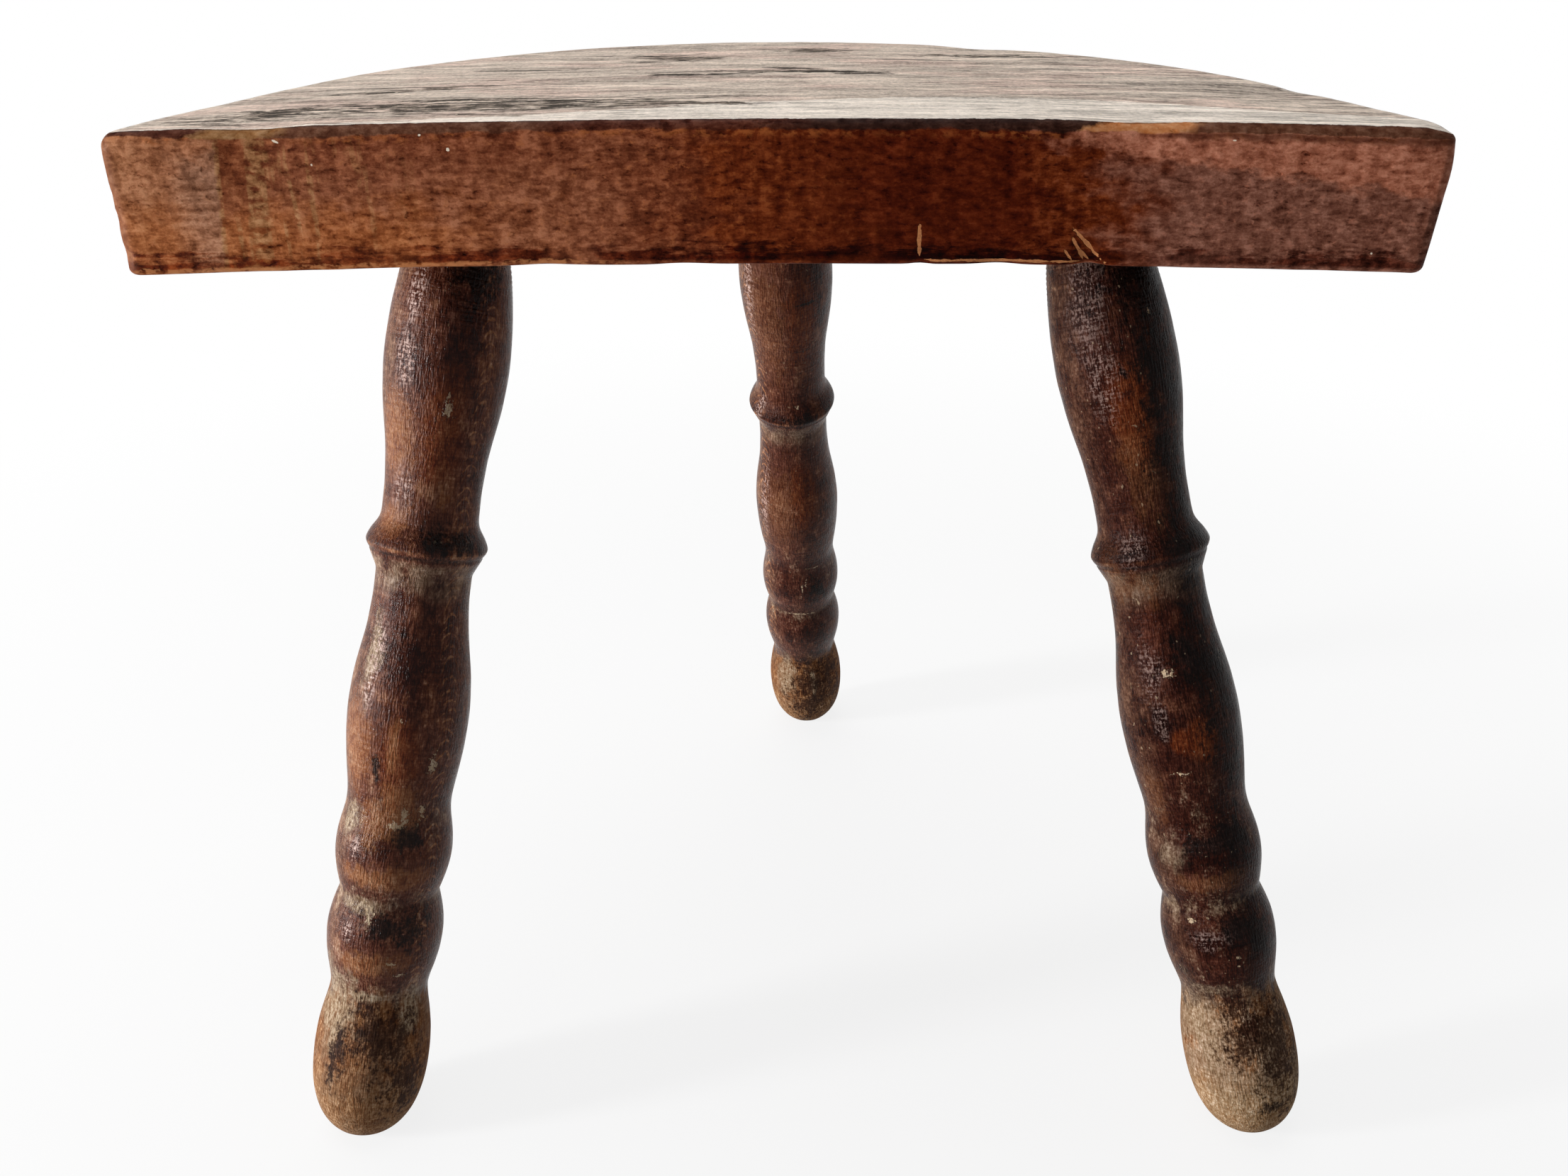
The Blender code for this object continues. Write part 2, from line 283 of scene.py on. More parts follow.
def sheet_inside(rim):
    """Grid of points that fills the outline: each is the sum of what lies between the two sides and what
    lies between front and back, less what lies between the four corners."""
    marks = np.cumsum((0, SIDE_CELLS, FRONT_CELLS, SIDE_CELLS, FRONT_CELLS))
    loop = np.vstack([rim, rim[:1]])
    right, back, left, front = [loop[a:b + 1] for a, b in zip(marks, marks[1:])]
    back = back[::-1]
    left = left[::-1]
    s = np.linspace(0.0, 1.0, FRONT_CELLS + 1)[None, :, None]
    t = np.linspace(0.0, 1.0, SIDE_CELLS + 1)[:, None, None]
    across = (1 - s) * left[:, None] + s * right[:, None]
    along = (1 - t) * front[None] + t * back[None]
    corners = (1 - t) * ((1 - s) * front[0] + s * front[-1]) + t * ((1 - s) * back[0] + s * back[-1])
    return across + along - corners


def sheet_numbers():
    """Numbers of the top sheet's points, in rows from front to back."""
    return np.arange((SIDE_CELLS + 1) * (FRONT_CELLS + 1)).reshape(SIDE_CELLS + 1, FRONT_CELLS + 1)


def sheet_border():
    """Numbers of the sheet's border points, in the order of the rim's stations."""
    number = sheet_numbers()
    return np.concatenate([number[:-1, -1], number[-1, :0:-1], number[:0:-1, 0], number[0, :-1]])


class Section(NamedTuple):
    """Section through the plank's edge, one row for each step from its top to its underside."""

    inset: np.ndarray
    level: np.ndarray
    out: np.ndarray
    up: np.ndarray


def rim_section(seat, top_round):
    """A quarter round from the top into the rim, the upright rim, and a quarter round into the underside.
    The upper radius differs from station to station."""
    low = seat.low_arris
    upper = SEAT_THICK - top_round
    turn = np.linspace(0.0, pi / 2, ARRIS_ROWS)[:, None]
    top = (top_round * (1 - np.sin(turn)), SEAT_THICK - top_round * (1 - np.cos(turn)), np.sin(turn),
           np.cos(turn))
    share = np.linspace(0.0, 1.0, RIM_ROWS + 1)[1:, None]
    rim = (0 * share, upper + (low - upper) * share, 1.0 + 0 * share, 0 * share)
    turn = np.linspace(0.0, pi / 2, LOW_ROWS)[1:, None]
    foot = (low * (1 - np.cos(turn)), low * (1 - np.sin(turn)), np.cos(turn), -np.sin(turn))
    return Section(*[np.concatenate([np.broadcast_to(part, (len(part), top_round.size)) for part in parts])
                     for parts in zip(top, rim, foot)])


def plank_faces(rows, columns, centre):
    """Squares of the top sheet and of the rim, and the triangles that close the underside."""
    number = sheet_numbers()
    sheet = np.stack([number[:-1, :-1], number[:-1, 1:], number[1:, 1:], number[1:, :-1]], axis=-1)
    ring = np.vstack([sheet_border(), number.size + np.arange(rows * columns).reshape(rows, columns)])
    fan = np.stack([ring[-1], np.full(columns, centre), np.roll(ring[-1], -1)], axis=-1)
    return np.concatenate([sheet.reshape(-1, 4), strip_faces(ring)]), fan


def plank_wear(points):
    """How far the surface lies out from the ideal plank: flat hollows of the plane, small ripples, and the
    spots that knocks have taken off. Points are from the middle of the upper front edge."""
    wear = 0.14 * MM * ripple(points, (26 * MM, 26 * MM, 14 * MM), 3)
    wear += 0.05 * MM * ripple(points, (6 * MM, 5 * MM, 3.5 * MM), 4)
    for x, y, z, size, deep in PLANK_KNOCKS:
        far = np.linalg.norm(points - np.array((x, y, z)) * MM, axis=-1)
        wear -= deep * MM * bump(far, 0.0, size * MM)
    return wear


# Spots where wood is gone, in millimetres from the middle of the upper front edge: the place, the
# size and the depth
PLANK_KNOCKS = (
    (151, 2, 0, 6.0, 1.7), (-151, 2, 0, 3.0, 0.5), (-150, 1, -14, 1.4, 0.7), (-150, 1, -19, 1.6, 0.8),
    (-149.5, 1, -27, 1.8, 0.9), (34, 0, -31, 2.2, 0.6), (52, 0, -32, 5.0, 0.5), (73, 0, -31, 3.2, 0.9),
    (-52, 0, -32, 7.0, 0.4), (80, 0, 0, 12.0, 0.6), (-116, 0, 0, 9.0, 0.6), (-20, 0, -32, 6.0, 0.35),
    (60, 155, 0, 9.0, 0.8), (-118, 80, -32, 6.0, 0.8), (128, 60, 0, 8.0, 0.7),
)


def furrow_relief(points):
    """Raised grain of the weathered top: ripples drawn out along the grain, the finer the shallower."""
    relief = 0.10 * MM * ripple(points, (90 * MM, 5.0 * MM, 1.0), 7)
    relief += 0.07 * MM * ripple(points, (45 * MM, 2.6 * MM, 1.0), 8)
    return relief - 0.45 * MM * np.clip(ripple(points, (36 * MM, 2.2 * MM, 1.0), 9) - 0.72, 0.0, 1.0)


def make_plank(seat):
    """The plank as one skin: the top sheet, the section carried round the outline, and the underside drawn
    in ring by ring to its middle. Wear moves each point along the surface's own normal, the lean pushes the
    right end out at its top, and the bow lowers a point by the square of its distance from the middle."""
    plan = plank_plan(seat)
    station = rim_stations(plan, seat)
    turn = np.interp(station, plan.run, plan.turn)
    line = np.stack([np.interp(station, plan.run, plan.x), np.interp(station, plan.run, plan.y)], axis=-1)
    normal = np.stack([np.cos(turn), np.sin(turn)], axis=-1)

    spread = np.column_stack([line, np.zeros(len(line))])
    top_round = seat.top_arris * (1 + ARRIS_WAVER * ripple(spread, (22 * MM,) * 3, 1))
    section = rim_section(seat, top_round)
    rim = line - section.inset[..., None] * normal
    rim_out = section.out[..., None] * normal
    rim_points = np.concatenate([rim, (section.level - SEAT_THICK)[..., None]], axis=-1)
    rim_normal = np.concatenate([rim_out, section.up[..., None]], axis=-1)
    stride = np.linalg.norm(np.diff(rim_points, axis=0), axis=-1)
    rim_run = np.vstack([np.zeros(len(line)), np.cumsum(stride, axis=0)])

    sheet = sheet_inside(rim[0]).reshape(-1, 2)
    sheet_points = np.column_stack([sheet, np.zeros(len(sheet))])
    middle = np.array((0.0, SEAT_DEPTH * UNDER_MIDDLE))
    shrink = np.linspace(1.0, 0.0, UNDER_RINGS + 1)[1:-1, None, None]
    under = middle + (rim[-1] - middle) * shrink
    under_points = np.concatenate([under, np.full((*under.shape[:2], 1), -SEAT_THICK)], axis=-1)
    centre = np.append(middle, -SEAT_THICK)

    flat = np.vstack([sheet_points, rim_points[1:].reshape(-1, 3), under_points.reshape(-1, 3), centre])
    up = np.array((0.0, 0.0, 1.0))
    under_count = under_points[..., 0].size + 1
    normals = np.vstack([np.broadcast_to(up, sheet_points.shape), rim_normal[1:].reshape(-1, 3),
                         np.broadcast_to(-up, (under_count, 3))])
    edge = np.linalg.norm(sheet[:, None] - line[None, ::4], axis=-1).min(axis=1)
    run = np.concatenate([seat.top_arris - edge, rim_run[1:].ravel(),
                          np.full(under_count, rim_run[-1].mean() + UNDER_RUN)])

    wear = plank_wear(flat)
    inland = np.clip((edge - GRAIN_MARGIN) / GRAIN_EASE, 0.0, 1.0)
    wear[:len(sheet)] += inland * furrow_relief(sheet_points)
    points = flat + wear[:, None] * normals
    reach = SEAT_WIDTH / 2
    near_end = np.clip((flat[:, 0] - reach + LEAN_REACH) / LEAN_REACH, 0.0, 1.0)
    lean = seat.lean * (1 + LEAN_TAPER * flat[:, 2] / SEAT_THICK)
    points[:, 0] += near_end ** 2 * (3 - 2 * near_end) * lean
    points[:, 2] -= seat.bow * (points[:, 0] / reach) ** 2

    rows = ARRIS_ROWS + RIM_ROWS + LOW_ROWS - 2 + UNDER_RINGS - 1
    quads, fan = plank_faces(rows, len(line), len(points) - 1)
    obj = add_mesh("seat_plank", points + np.array(FRONT_EDGE), quads, fan)
    set_attribute(obj, "run", run)
    set_attribute(obj, "spot", flat)
    return obj


# The legs

LEG_ROWS = 620
LEG_COLUMNS = 112
FLOOR_SKIN = 0.3 * MM
RING_GAP = 0.5 * MM
FOOT_REACH = 60 * MM
CORNER_BEND = 0.3
FOOT_POWER = 2.5
FOOT_LENGTH = 0.96
COLLAR_FALL = 7.5 * MM
GROOVE_EASE = 3.2 * MM
TURNED_EASE = 0.6 * MM
COLLAR_EASE = 0.3 * MM
CUT_DEPTH = 0.22 * MM
RIDGE_HEIGHT = 0.09 * MM
OUT_OF_ROUND = 0.006
RELIEF_SPREAD = 4.5 * MM


def node_points(node):
    """Every corner of a CAD node, once."""
    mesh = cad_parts[node].data
    flat = np.empty(len(mesh.vertices) * 3, np.float32)
    mesh.vertices.foreach_get("co", flat)
    return np.unique(np.round(flat.reshape(-1, 3).astype(float), 6), axis=0)


def leg_axis(points):
    """Where a leg leaves the seat, and its direction down: the longest principal direction of the points
    above the foot, whose rings are whole, carried on to the level of the seat's underside."""
    above = points
    for _ in range(5):
        middle = above.mean(axis=0)
        down = np.linalg.svd(above - middle, full_matrices=False)[2][0]
        down = down * -np.sign(down[2])
        along = (points - middle) @ down
        above = points[along < along.max() - FOOT_REACH]
    mouth = middle + down * (SEAT_LOW.z - middle[2]) / down[2]
    return mouth, down


def leg_rings(points, mouth, down):
    """Distance below the seat and radius of every turned ring of a CAD leg that the floor left."""
    points = points[points[:, 2] > FLOOR_SKIN]
    along = (points - mouth) @ down
    radius = np.linalg.norm(points - mouth - along[:, None] * down, axis=1)
    order = np.argsort(along)
    along = along[order]
    first = np.flatnonzero(np.diff(along, prepend=-1.0) > RING_GAP)
    count = np.diff(np.append(first, len(along)))
    return np.add.reduceat(along, first) / count, np.maximum.reduceat(radius[order], first)


def slopes(at, value):
    """Slope into and out of each point of a curve that swings past none of its points: nil at a crest, the
    harmonic mean of its neighbours' elsewhere, and one of its own on each side of a sharp groove."""
    step = np.diff(at)
    rise = np.diff(value) / step
    before, after = rise[:-1], rise[1:]
    same = before * after > 0
    mean = np.where(same, 2 * before * after / np.where(same, before + after, 1.0), 0.0)
    into = np.concatenate([[0.0], mean, [rise[-1]]])
    out = np.concatenate([[rise[0]], mean, [0.0]])
    sharp = np.flatnonzero(after - before > CORNER_BEND) + 1
    into[sharp] = 1.5 * rise[sharp - 1] - 0.5 * rise[sharp - 2]
    out[sharp] = 1.5 * rise[sharp] - 0.5 * rise[sharp + 1]
    return into, out


def turned_curve(at, value, where):
    """Cubic pieces through the points, with the slopes above."""
    into, out = slopes(at, value)
    piece = np.clip(np.searchsorted(at, where) - 1, 0, len(at) - 2)
    span = at[piece + 1] - at[piece]
    t = (where - at[piece]) / span
    start = (1 + 2 * t) * (1 - t) ** 2 * value[piece] + t * (1 - t) ** 2 * span * out[piece]
    return start + t * t * (3 - 2 * t) * value[piece + 1] + t * t * (t - 1) * span * into[piece + 1]


def soften(values, spread):
    """Running mean of a row of values, weighed by a bell curve of the given spread in steps."""
    reach = int(3 * spread)
    weight = bump(np.arange(-reach, reach + 1), 0.0, spread * 2 ** 0.5)
    padded = np.pad(values, reach, mode="edge")
    return np.convolve(padded, weight / weight.sum(), mode="valid")


class LegForm(NamedTuple):
    """A leg's turned form: distances below the seat, the radius at each, and two places for detail."""

    along: np.ndarray
    radius: np.ndarray
    collar: float
    foot: float


def leg_form(points, mouth, down, legs):
    """The smooth curve through the CAD leg's rings. The foot is closed by a curve between an ellipse and a
    box. The collar rises by the square, which draws its crest to an edge, and falls straight. The first and
    last groove are eased more than the second, a fine cut runs under the collar, and the gouge's ridges are
    left under the seat."""
    at, value = leg_rings(points, mouth, down)
    value = np.round(value, 5)
    crests = np.flatnonzero((value[1:-1] > value[:-2]) & (value[1:-1] >= value[2:])) + 1
    grooves = np.flatnonzero((value[1:-1] < value[:-2]) & (value[1:-1] <= value[2:])) + 1
    grooves = grooves[grooves > crests[0]]
    ball = crests[-1]
    after = ball + 1
    tip = FOOT_LENGTH * (at[after] - at[ball]) / np.sqrt(1 - (value[after] / value[ball]) ** 2)
    along = np.linspace(at[0], at[ball] + tip, LEG_ROWS)
    closing = np.clip((along - at[ball]) / tip, 0.0, 1.0)
    radius = np.where(along < at[ball], turned_curve(at, value, along),
                      value[ball] * (1 - closing ** FOOT_POWER) ** (1 / FOOT_POWER))
    step = along[1] - along[0]
    waist, cove, first_groove, _, last_groove = at[grooves]
    collar = at[crests[1]]
    high = value[crests[1]]
    low = np.where(along < collar, value[grooves[0]], value[grooves[1]])
    rise = np.clip((radius - low) / (high - low), 0.0, 1.0)
    fall = np.clip(1 - (along - collar) / COLLAR_FALL, 0.0, 1.0)
    rise = np.where(along < collar, rise ** 2, fall)
    radius = np.where((along > waist) & (along < cove), low + (high - low) * rise, radius)
    ease = bump(along, first_groove, 8 * MM) + 0.75 * bump(along, last_groove, 6 * MM)
    radius += ease * (soften(radius, GROOVE_EASE / step) - radius)
    smooth = soften(radius, TURNED_EASE / step)
    smooth += bump(along, collar, 5 * MM) * (soften(radius, COLLAR_EASE / step) - smooth)
    radius = np.where((along > 2 * MM) & (along < at[ball]), smooth, radius)
    radius -= CUT_DEPTH * bump(along, collar + 1.9 * MM, 0.5 * MM)
    ridges = np.sin(2 * pi * along / legs.ridge_pitch) * bump(along, 11 * MM, 7 * MM)
    radius += RIDGE_HEIGHT * ridges * (along > 0)
    return LegForm(along, np.maximum(radius, 0.0), collar, last_groove)


def make_leg(node, legs, seed):
    """The leg's form turned about its axis, a little out of round, uneven to the touch and eased where it
    meets the floor."""
    corners = node_points(node)
    mouth, down = leg_axis(corners)
    form = leg_form(corners, mouth, down, legs)
    front = np.array((0.0, -1.0, 0.0))
    front -= (front @ down) * down
    front /= np.linalg.norm(front)
    right = np.cross(front, down)
    turn = np.linspace(0.0, 2 * pi, LEG_COLUMNS, endpoint=False)
    round_out = np.cos(turn)[:, None] * front + np.sin(turn)[:, None] * right
    radius = form.radius[:, None] * (1 + OUT_OF_ROUND * np.cos(2 * turn + seed))
    turned = np.stack([radius * np.cos(turn), radius * np.sin(turn),
                       np.broadcast_to(form.along[:, None], radius.shape)], axis=-1)
    uneven = 0.11 * MM * ripple(turned, (11 * MM, 11 * MM, 17 * MM), seed)
    uneven += 0.04 * MM * ripple(turned, (3 * MM, 3 * MM, 5 * MM), seed + 1)
    radius = np.maximum(radius + uneven * (form.along[:, None] > 0), 0.0)
    points = mouth + form.along[:, None, None] * down + radius[..., None] * round_out
    height = points[..., 2]
    points[..., 2] = (height + np.sqrt(height ** 2 + FLOOR_SKIN ** 2)) / 2

    top = mouth + form.along[0] * down
    number = np.arange(LEG_ROWS * LEG_COLUMNS).reshape(LEG_ROWS, LEG_COLUMNS)
    tip = number[-1, 0]
    end = np.stack([np.roll(number[-2], -1), number[-2], np.full(LEG_COLUMNS, tip)], axis=-1)
    cap = np.stack([number[0], np.roll(number[0], -1), np.full(LEG_COLUMNS, tip + 1)], axis=-1)
    kept = number[:-1].size + 1
    skin = np.vstack([points.reshape(-1, 3)[:kept], top])
    name = node.replace("leg", "turned_leg")
    obj = add_mesh(name, skin, strip_faces(number[:-1]), np.concatenate([end, cap]))

    step = form.along[1] - form.along[0]
    relief = form.radius - soften(form.radius, RELIEF_SPREAD / step)
    set_attribute(obj, "relief", np.append(np.repeat(relief, LEG_COLUMNS)[:kept], 0.0))
    set_attribute(obj, "turned", np.vstack([turned.reshape(-1, 3)[:kept], (0.0, 0.0, form.along[0])]))
    return obj, form


# Finishes, with lengths in millimetres, as the meshes store them

ENDLESS = 1000.0
BLOT_DEPTH = 30.0
MARK_RADIUS = 16.0
MARK_DEPTH = 6.0
ARC_CURVE = 0.33


class Finish:
    """A wood finish under construction: each method adds a node and gives back its output."""

    def __init__(self, name):
        self.material = bpy.data.materials.new(name)
        self.material.use_nodes = True
        self.tree = self.material.node_tree
        self.shader = self.tree.nodes["Principled BSDF"]

    def feed(self, socket, value):
        """Link an output to a socket, or set the socket's own value."""
        if isinstance(value, bpy.types.NodeSocket):
            self.tree.links.new(value, socket)
        else:
            socket.default_value = value

    def add(self, kind, inputs, output=0, **settings):
        """A node with its settings and inputs."""
        node = self.tree.nodes.new(kind)
        for name, value in settings.items():
            setattr(node, name, value)
        for key, value in inputs.items():
            self.feed(node.inputs[key], value)
        return node.outputs[output]

    def attribute(self, name, output="Fac"):
        """A number or vector stored on the mesh."""
        return self.add("ShaderNodeAttribute", {}, output, attribute_name=name)

    def math(self, operation, first, second=0.0):
        """One step of arithmetic."""
        return self.add("ShaderNodeMath", {0: first, 1: second}, operation=operation)

    def chain(self, operation, values):
        """One operation carried on through several values."""
        result = values[0]
        for value in values[1:]:
            result = self.math(operation, result, value)
        return result

    def times(self, *factors):
        """Product of several values."""
        return self.chain("MULTIPLY", factors)

    def total(self, *parts):
        """Sum of several values. A pair is a cloudy value and how far it swings about nil."""
        return self.chain("ADD", [self.shift(*part) if isinstance(part, tuple) else part for part in parts])

    def vector(self, operation, first, second=(0.0, 0.0, 0.0), output="Value"):
        """One step of vector arithmetic."""
        return self.add("ShaderNodeVectorMath", {0: first, 1: second}, output, operation=operation)

    def place(self, vector, size, centre=(0.0, 0.0, 0.0), turn=(0.0, 0.0, 0.0)):
        """Coordinates in cells of the given size around a centre."""
        inputs = {"Vector": vector, "Location": centre, "Rotation": turn, "Scale": size}
        return self.add("ShaderNodeMapping", inputs, vector_type="TEXTURE")

    def noise(self, vector, size, detail=3.0, roughness=0.55):
        """Cloudy value around one half, with clouds of the given size."""
        inputs = {"Vector": self.place(vector, size), "Scale": 1.0, "Detail": detail,
                  "Roughness": roughness}
        return self.add("ShaderNodeTexNoise", inputs)

    def sway(self, vector, size, amount):
        """Coordinates that wander by up to the given amounts."""
        inputs = {"Vector": self.place(vector, size), "Scale": 1.0, "Detail": 2.0}
        cloud = self.add("ShaderNodeTexNoise", inputs, "Color")
        offset = self.vector("SUBTRACT", cloud, (0.5, 0.5, 0.5), "Vector")
        return self.add("ShaderNodeVectorMath", {0: offset, 1: amount, 2: vector}, operation="MULTIPLY_ADD")

    def step(self, value, low, high):
        """Smooth step from 0 at low to 1 at high; the other way round where low is above high."""
        inputs = {"Value": value, "From Min": min(low, high), "From Max": max(low, high),
                  "To Min": float(low > high), "To Max": float(low < high)}
        return self.add("ShaderNodeMapRange", inputs, interpolation_type="SMOOTHSTEP")

    def between(self, value, start, full, fade, end):
        """1 from full to fade, and eased from there to 0 at start and at end."""
        return self.times(self.step(value, start, full), self.step(value, end, fade))

    def spot(self, vector, centre, size, turn):
        """Distance from a spot's centre in shares of its size: 1 at its rim."""
        return self.vector("LENGTH", self.place(vector, size, centre, turn))

    def mix(self, share, first, second):
        """Two colours mixed."""
        pair = [c if isinstance(c, bpy.types.NodeSocket) else (*c, 1.0) for c in (first, second)]
        return self.add("ShaderNodeMix", {0: share, 6: pair[0], 7: pair[1]}, 2, data_type="RGBA")

    def lay(self, base, coat, *shares):
        """A coat laid over a base by the product of its shares."""
        return self.mix(self.times(*shares), base, coat)

    def line(self, value, gain, offset):
        """A value times a gain, plus an offset."""
        return self.add("ShaderNodeMath", {0: value, 1: gain, 2: offset}, operation="MULTIPLY_ADD")

    def shift(self, cloud, amount):
        """A cloudy value drawn out to swing about nil by the given amount."""
        return self.line(cloud, amount, -amount / 2)

    def gamma(self, tone, power):
        """A colour raised to a power: deeper above one, paler below it."""
        return self.add("ShaderNodeGamma", {"Color": tone, "Gamma": power})

    def scale(self, tone, factor):
        """A colour made lighter or darker in proportion."""
        return self.add("ShaderNodeVectorMath", {0: tone, "Scale": factor}, "Vector", operation="SCALE")

    def axes(self, vector):
        """The three parts of a vector."""
        node = self.tree.nodes.new("ShaderNodeSeparateXYZ")
        self.feed(node.inputs[0], vector)
        return tuple(node.outputs)

    def ramp(self, value, stops):
        """Colours that flow into each other along a value from 0 to 1."""
        node = self.tree.nodes.new("ShaderNodeValToRGB")
        elements = node.color_ramp.elements
        elements.remove(elements[1])
        elements[0].position = stops[0][0]
        elements[0].color = (*stops[0][1], 1.0)
        for position, tone in stops[1:]:
            elements.new(position).color = (*tone, 1.0)
        self.feed(node.inputs[0], value)
        return node.outputs[0]

    def end(self, base, roughness, height, depth, specular):
        """Join colour, roughness and height to the shader, and set how strongly it mirrors."""
        self.feed(self.shader.inputs["Base Color"], base)
        self.feed(self.shader.inputs["Roughness"], roughness)
        self.feed(self.shader.inputs["Specular IOR Level"], specular)
        normal = self.add("ShaderNodeBump", {"Strength": 1.0, "Distance": depth, "Height": height})
        self.feed(self.shader.inputs["Normal"], normal)
        return self.material


# Blots in millimetres: the middle, the half sizes and the turn in degrees
SOOT_BLOTS = (
    (-72, 28, 40, 10, 5), (-119, 21, 19, 8, 35), (-28, 27, 20, 4, 0), (-30, 127, 15, 8, 0),
    (12, 146, 12, 5, 0), (62, 132, 20, 4, 0), (-95, 60, 22, 3, 20), (10, 90, 20, 3.5, -4),
    (-30, 85, 12, 2, 0),
)
CHECK_BLOTS = (
    (13, 89, 14, 2.2, -5), (3, 97, 9, 1.7, -3), (25, 84, 8, 1.6, 0), (-31, 84, 11, 1.6, 3),
    (-8, 86, 5, 0.9, 0), (-74, 100, 12, 0.9, 0), (-40, 118, 12, 1.1, 0), (-96, 33, 9, 0.9, 6),
    (-58, 36, 17, 1.1, 2), (40, 120, 10, 0.9, 0), (88, 62, 9, 0.7, 0), (-104, 66, 8, 0.8, 0),
)
RAW_BLOTS = (
    (33.6, -26.5, 0.45, 4.2, 2), (72.0, -26.8, 0.5, 5.4, 45), (70.0, -28.0, 0.38, 3.2, 30),
    (67.5, -29.0, 0.33, 1.8, 38), (71.3, -29.0, 0.3, 2.0, 42), (52.0, -30.9, 19.0, 0.45, 0),
)
SPECK_BLOTS = (
    (-72, -5.6, 0.34, 0.42, 0), (-103, -8.2, 0.22, 0.26, 0), (-110.5, -3.0, 0.8, 0.26, -25),
    (-78, -2.4, 0.32, 0.22, 0), (102, -3.6, 0.4, 0.18, 0), (137, -27.5, 0.25, 0.25, 0),
)
SPECK = (0.72, 0.63, 0.50)


def nearest_blot(finish, vector, blots, flat):
    """Distance from the nearest of several blots, in shares of its size. A flat blot lies in the top, and
    any other in the front."""
    far = []
    for x, y, wide, high, turn in blots:
        if flat:
            here = finish.spot(vector, (x, y, 0.0), (wide, high, ENDLESS), (0.0, 0.0, radians(turn)))
        else:
            here = finish.spot(vector, (x, 0.0, y), (wide, BLOT_DEPTH, high), (0.0, radians(-turn), 0.0))
        far.append(here)
    return finish.chain("MINIMUM", far)


def cream_strip(finish, x, y):
    """How far a point lies inside the pale strip along the front: a bell curve, wider to the right."""
    offset = finish.math("SUBTRACT", x, 45.0)
    left = finish.math("DIVIDE", finish.math("MINIMUM", offset, 0.0), 95.0)
    right = finish.math("DIVIDE", finish.math("MAXIMUM", offset, 0.0), 105.0)
    squared = finish.total(finish.math("POWER", left, 2.0), finish.math("POWER", right, 2.0))
    depth = finish.times(finish.math("EXPONENT", finish.times(squared, -1.0)), 37.0)
    return finish.math("SUBTRACT", depth, y)


def bare_top(finish, spot, run, seat):
    """Colour and height of the weathered top: grain drawn out along the plank, rosy and cream wood, soot
    that creeps along the grain in short dashes, and open checks."""
    x, y, _ = finish.axes(spot)
    grain = finish.sway(spot, (70, 34, ENDLESS), (0, 7, 0))
    band = finish.noise(grain, (85, 9.0, ENDLESS), 4.0, 0.6)
    vein = finish.noise(grain, (30, 4.6, ENDLESS), 5.0, 0.68)
    dash = finish.noise(grain, (11, 2.4, ENDLESS), 4.0, 0.68)
    fuzz = finish.noise(grain, (4.6, 1.5, ENDLESS), 5.0, 0.72)
    cloud = finish.noise(spot, (46, 20, ENDLESS), 3.0)
    base = finish.mix(finish.step(cloud, 0.46, 0.62), seat.bare, seat.rosy)
    inside = finish.total(cream_strip(finish, x, y), (vein, 9), (fuzz, 7))
    strip = finish.step(inside, -0.6, 1.2)
    base = finish.lay(base, seat.cream, strip, 0.9)
    brink = finish.between(inside, -3.2, -0.6, -0.6, 0.4)
    base = finish.lay(base, seat.furrow, brink, finish.step(band, 0.40, 0.60), 0.5)
    grain_end = finish.noise(spot, (1.2, 2.2, ENDLESS), 4.0, 0.65)
    tone = finish.total((band, 2.6), (vein, 2.2), (dash, 1.7), (fuzz, 2.0))
    tone = finish.times(tone, finish.line(finish.step(x, 10, 90), 0.5, 1.0))
    tone = finish.times(finish.total(tone, (grain_end, 1.8)), finish.line(strip, -0.35, 1.0))
    base = finish.scale(base, finish.math("MAXIMUM", finish.line(tone, 0.74, 1.09), 0.2))
    # Painted highlight: a thin pale line along the front top edge.
    base = finish.lay(base, seat.cream, finish.step(run, -1.6, -0.2), 0.55)

    soot = nearest_blot(finish, spot, SOOT_BLOTS, flat=True)
    sooty = finish.step(finish.total(soot, (vein, 3.6), (dash, 3.0), (fuzz, 2.6)), 1.35, 0.35)
    base = finish.lay(base, seat.furrow, sooty, 0.72)
    fibre = finish.step(finish.total(dash, (fuzz, 1.3)), 0.60, 0.44)
    base = finish.lay(base, seat.soot, sooty, fibre, 0.92)
    split = nearest_blot(finish, spot, CHECK_BLOTS, flat=True)
    split = finish.step(finish.total(split, (dash, 5.0), (vein, 2.4)), 1.15, 0.85)
    thread = finish.noise(grain, (22, 1.2, ENDLESS), 3.0, 0.6)
    area = finish.step(finish.noise(spot, (40, 22, ENDLESS), 2.0), 0.38, 0.58)
    check = finish.math("MAXIMUM", split, finish.times(finish.step(thread, 0.58, 0.65), area, 0.85))
    base = finish.lay(base, seat.soot, check, 0.88)
    speck = finish.noise(spot, (1.6, 1.6, ENDLESS), 0.0)
    base = finish.lay(base, SPECK, finish.step(speck, 0.79, 0.83), 0.8)
    height = finish.math("SUBTRACT", finish.times(tone, 0.35), finish.times(check, 0.6))
    return base, height


def plank_share(finish, place):
    """Share of the plank's width at a place in millimetres from its middle."""
    return finish.line(place, MM / SEAT_WIDTH, 0.5)


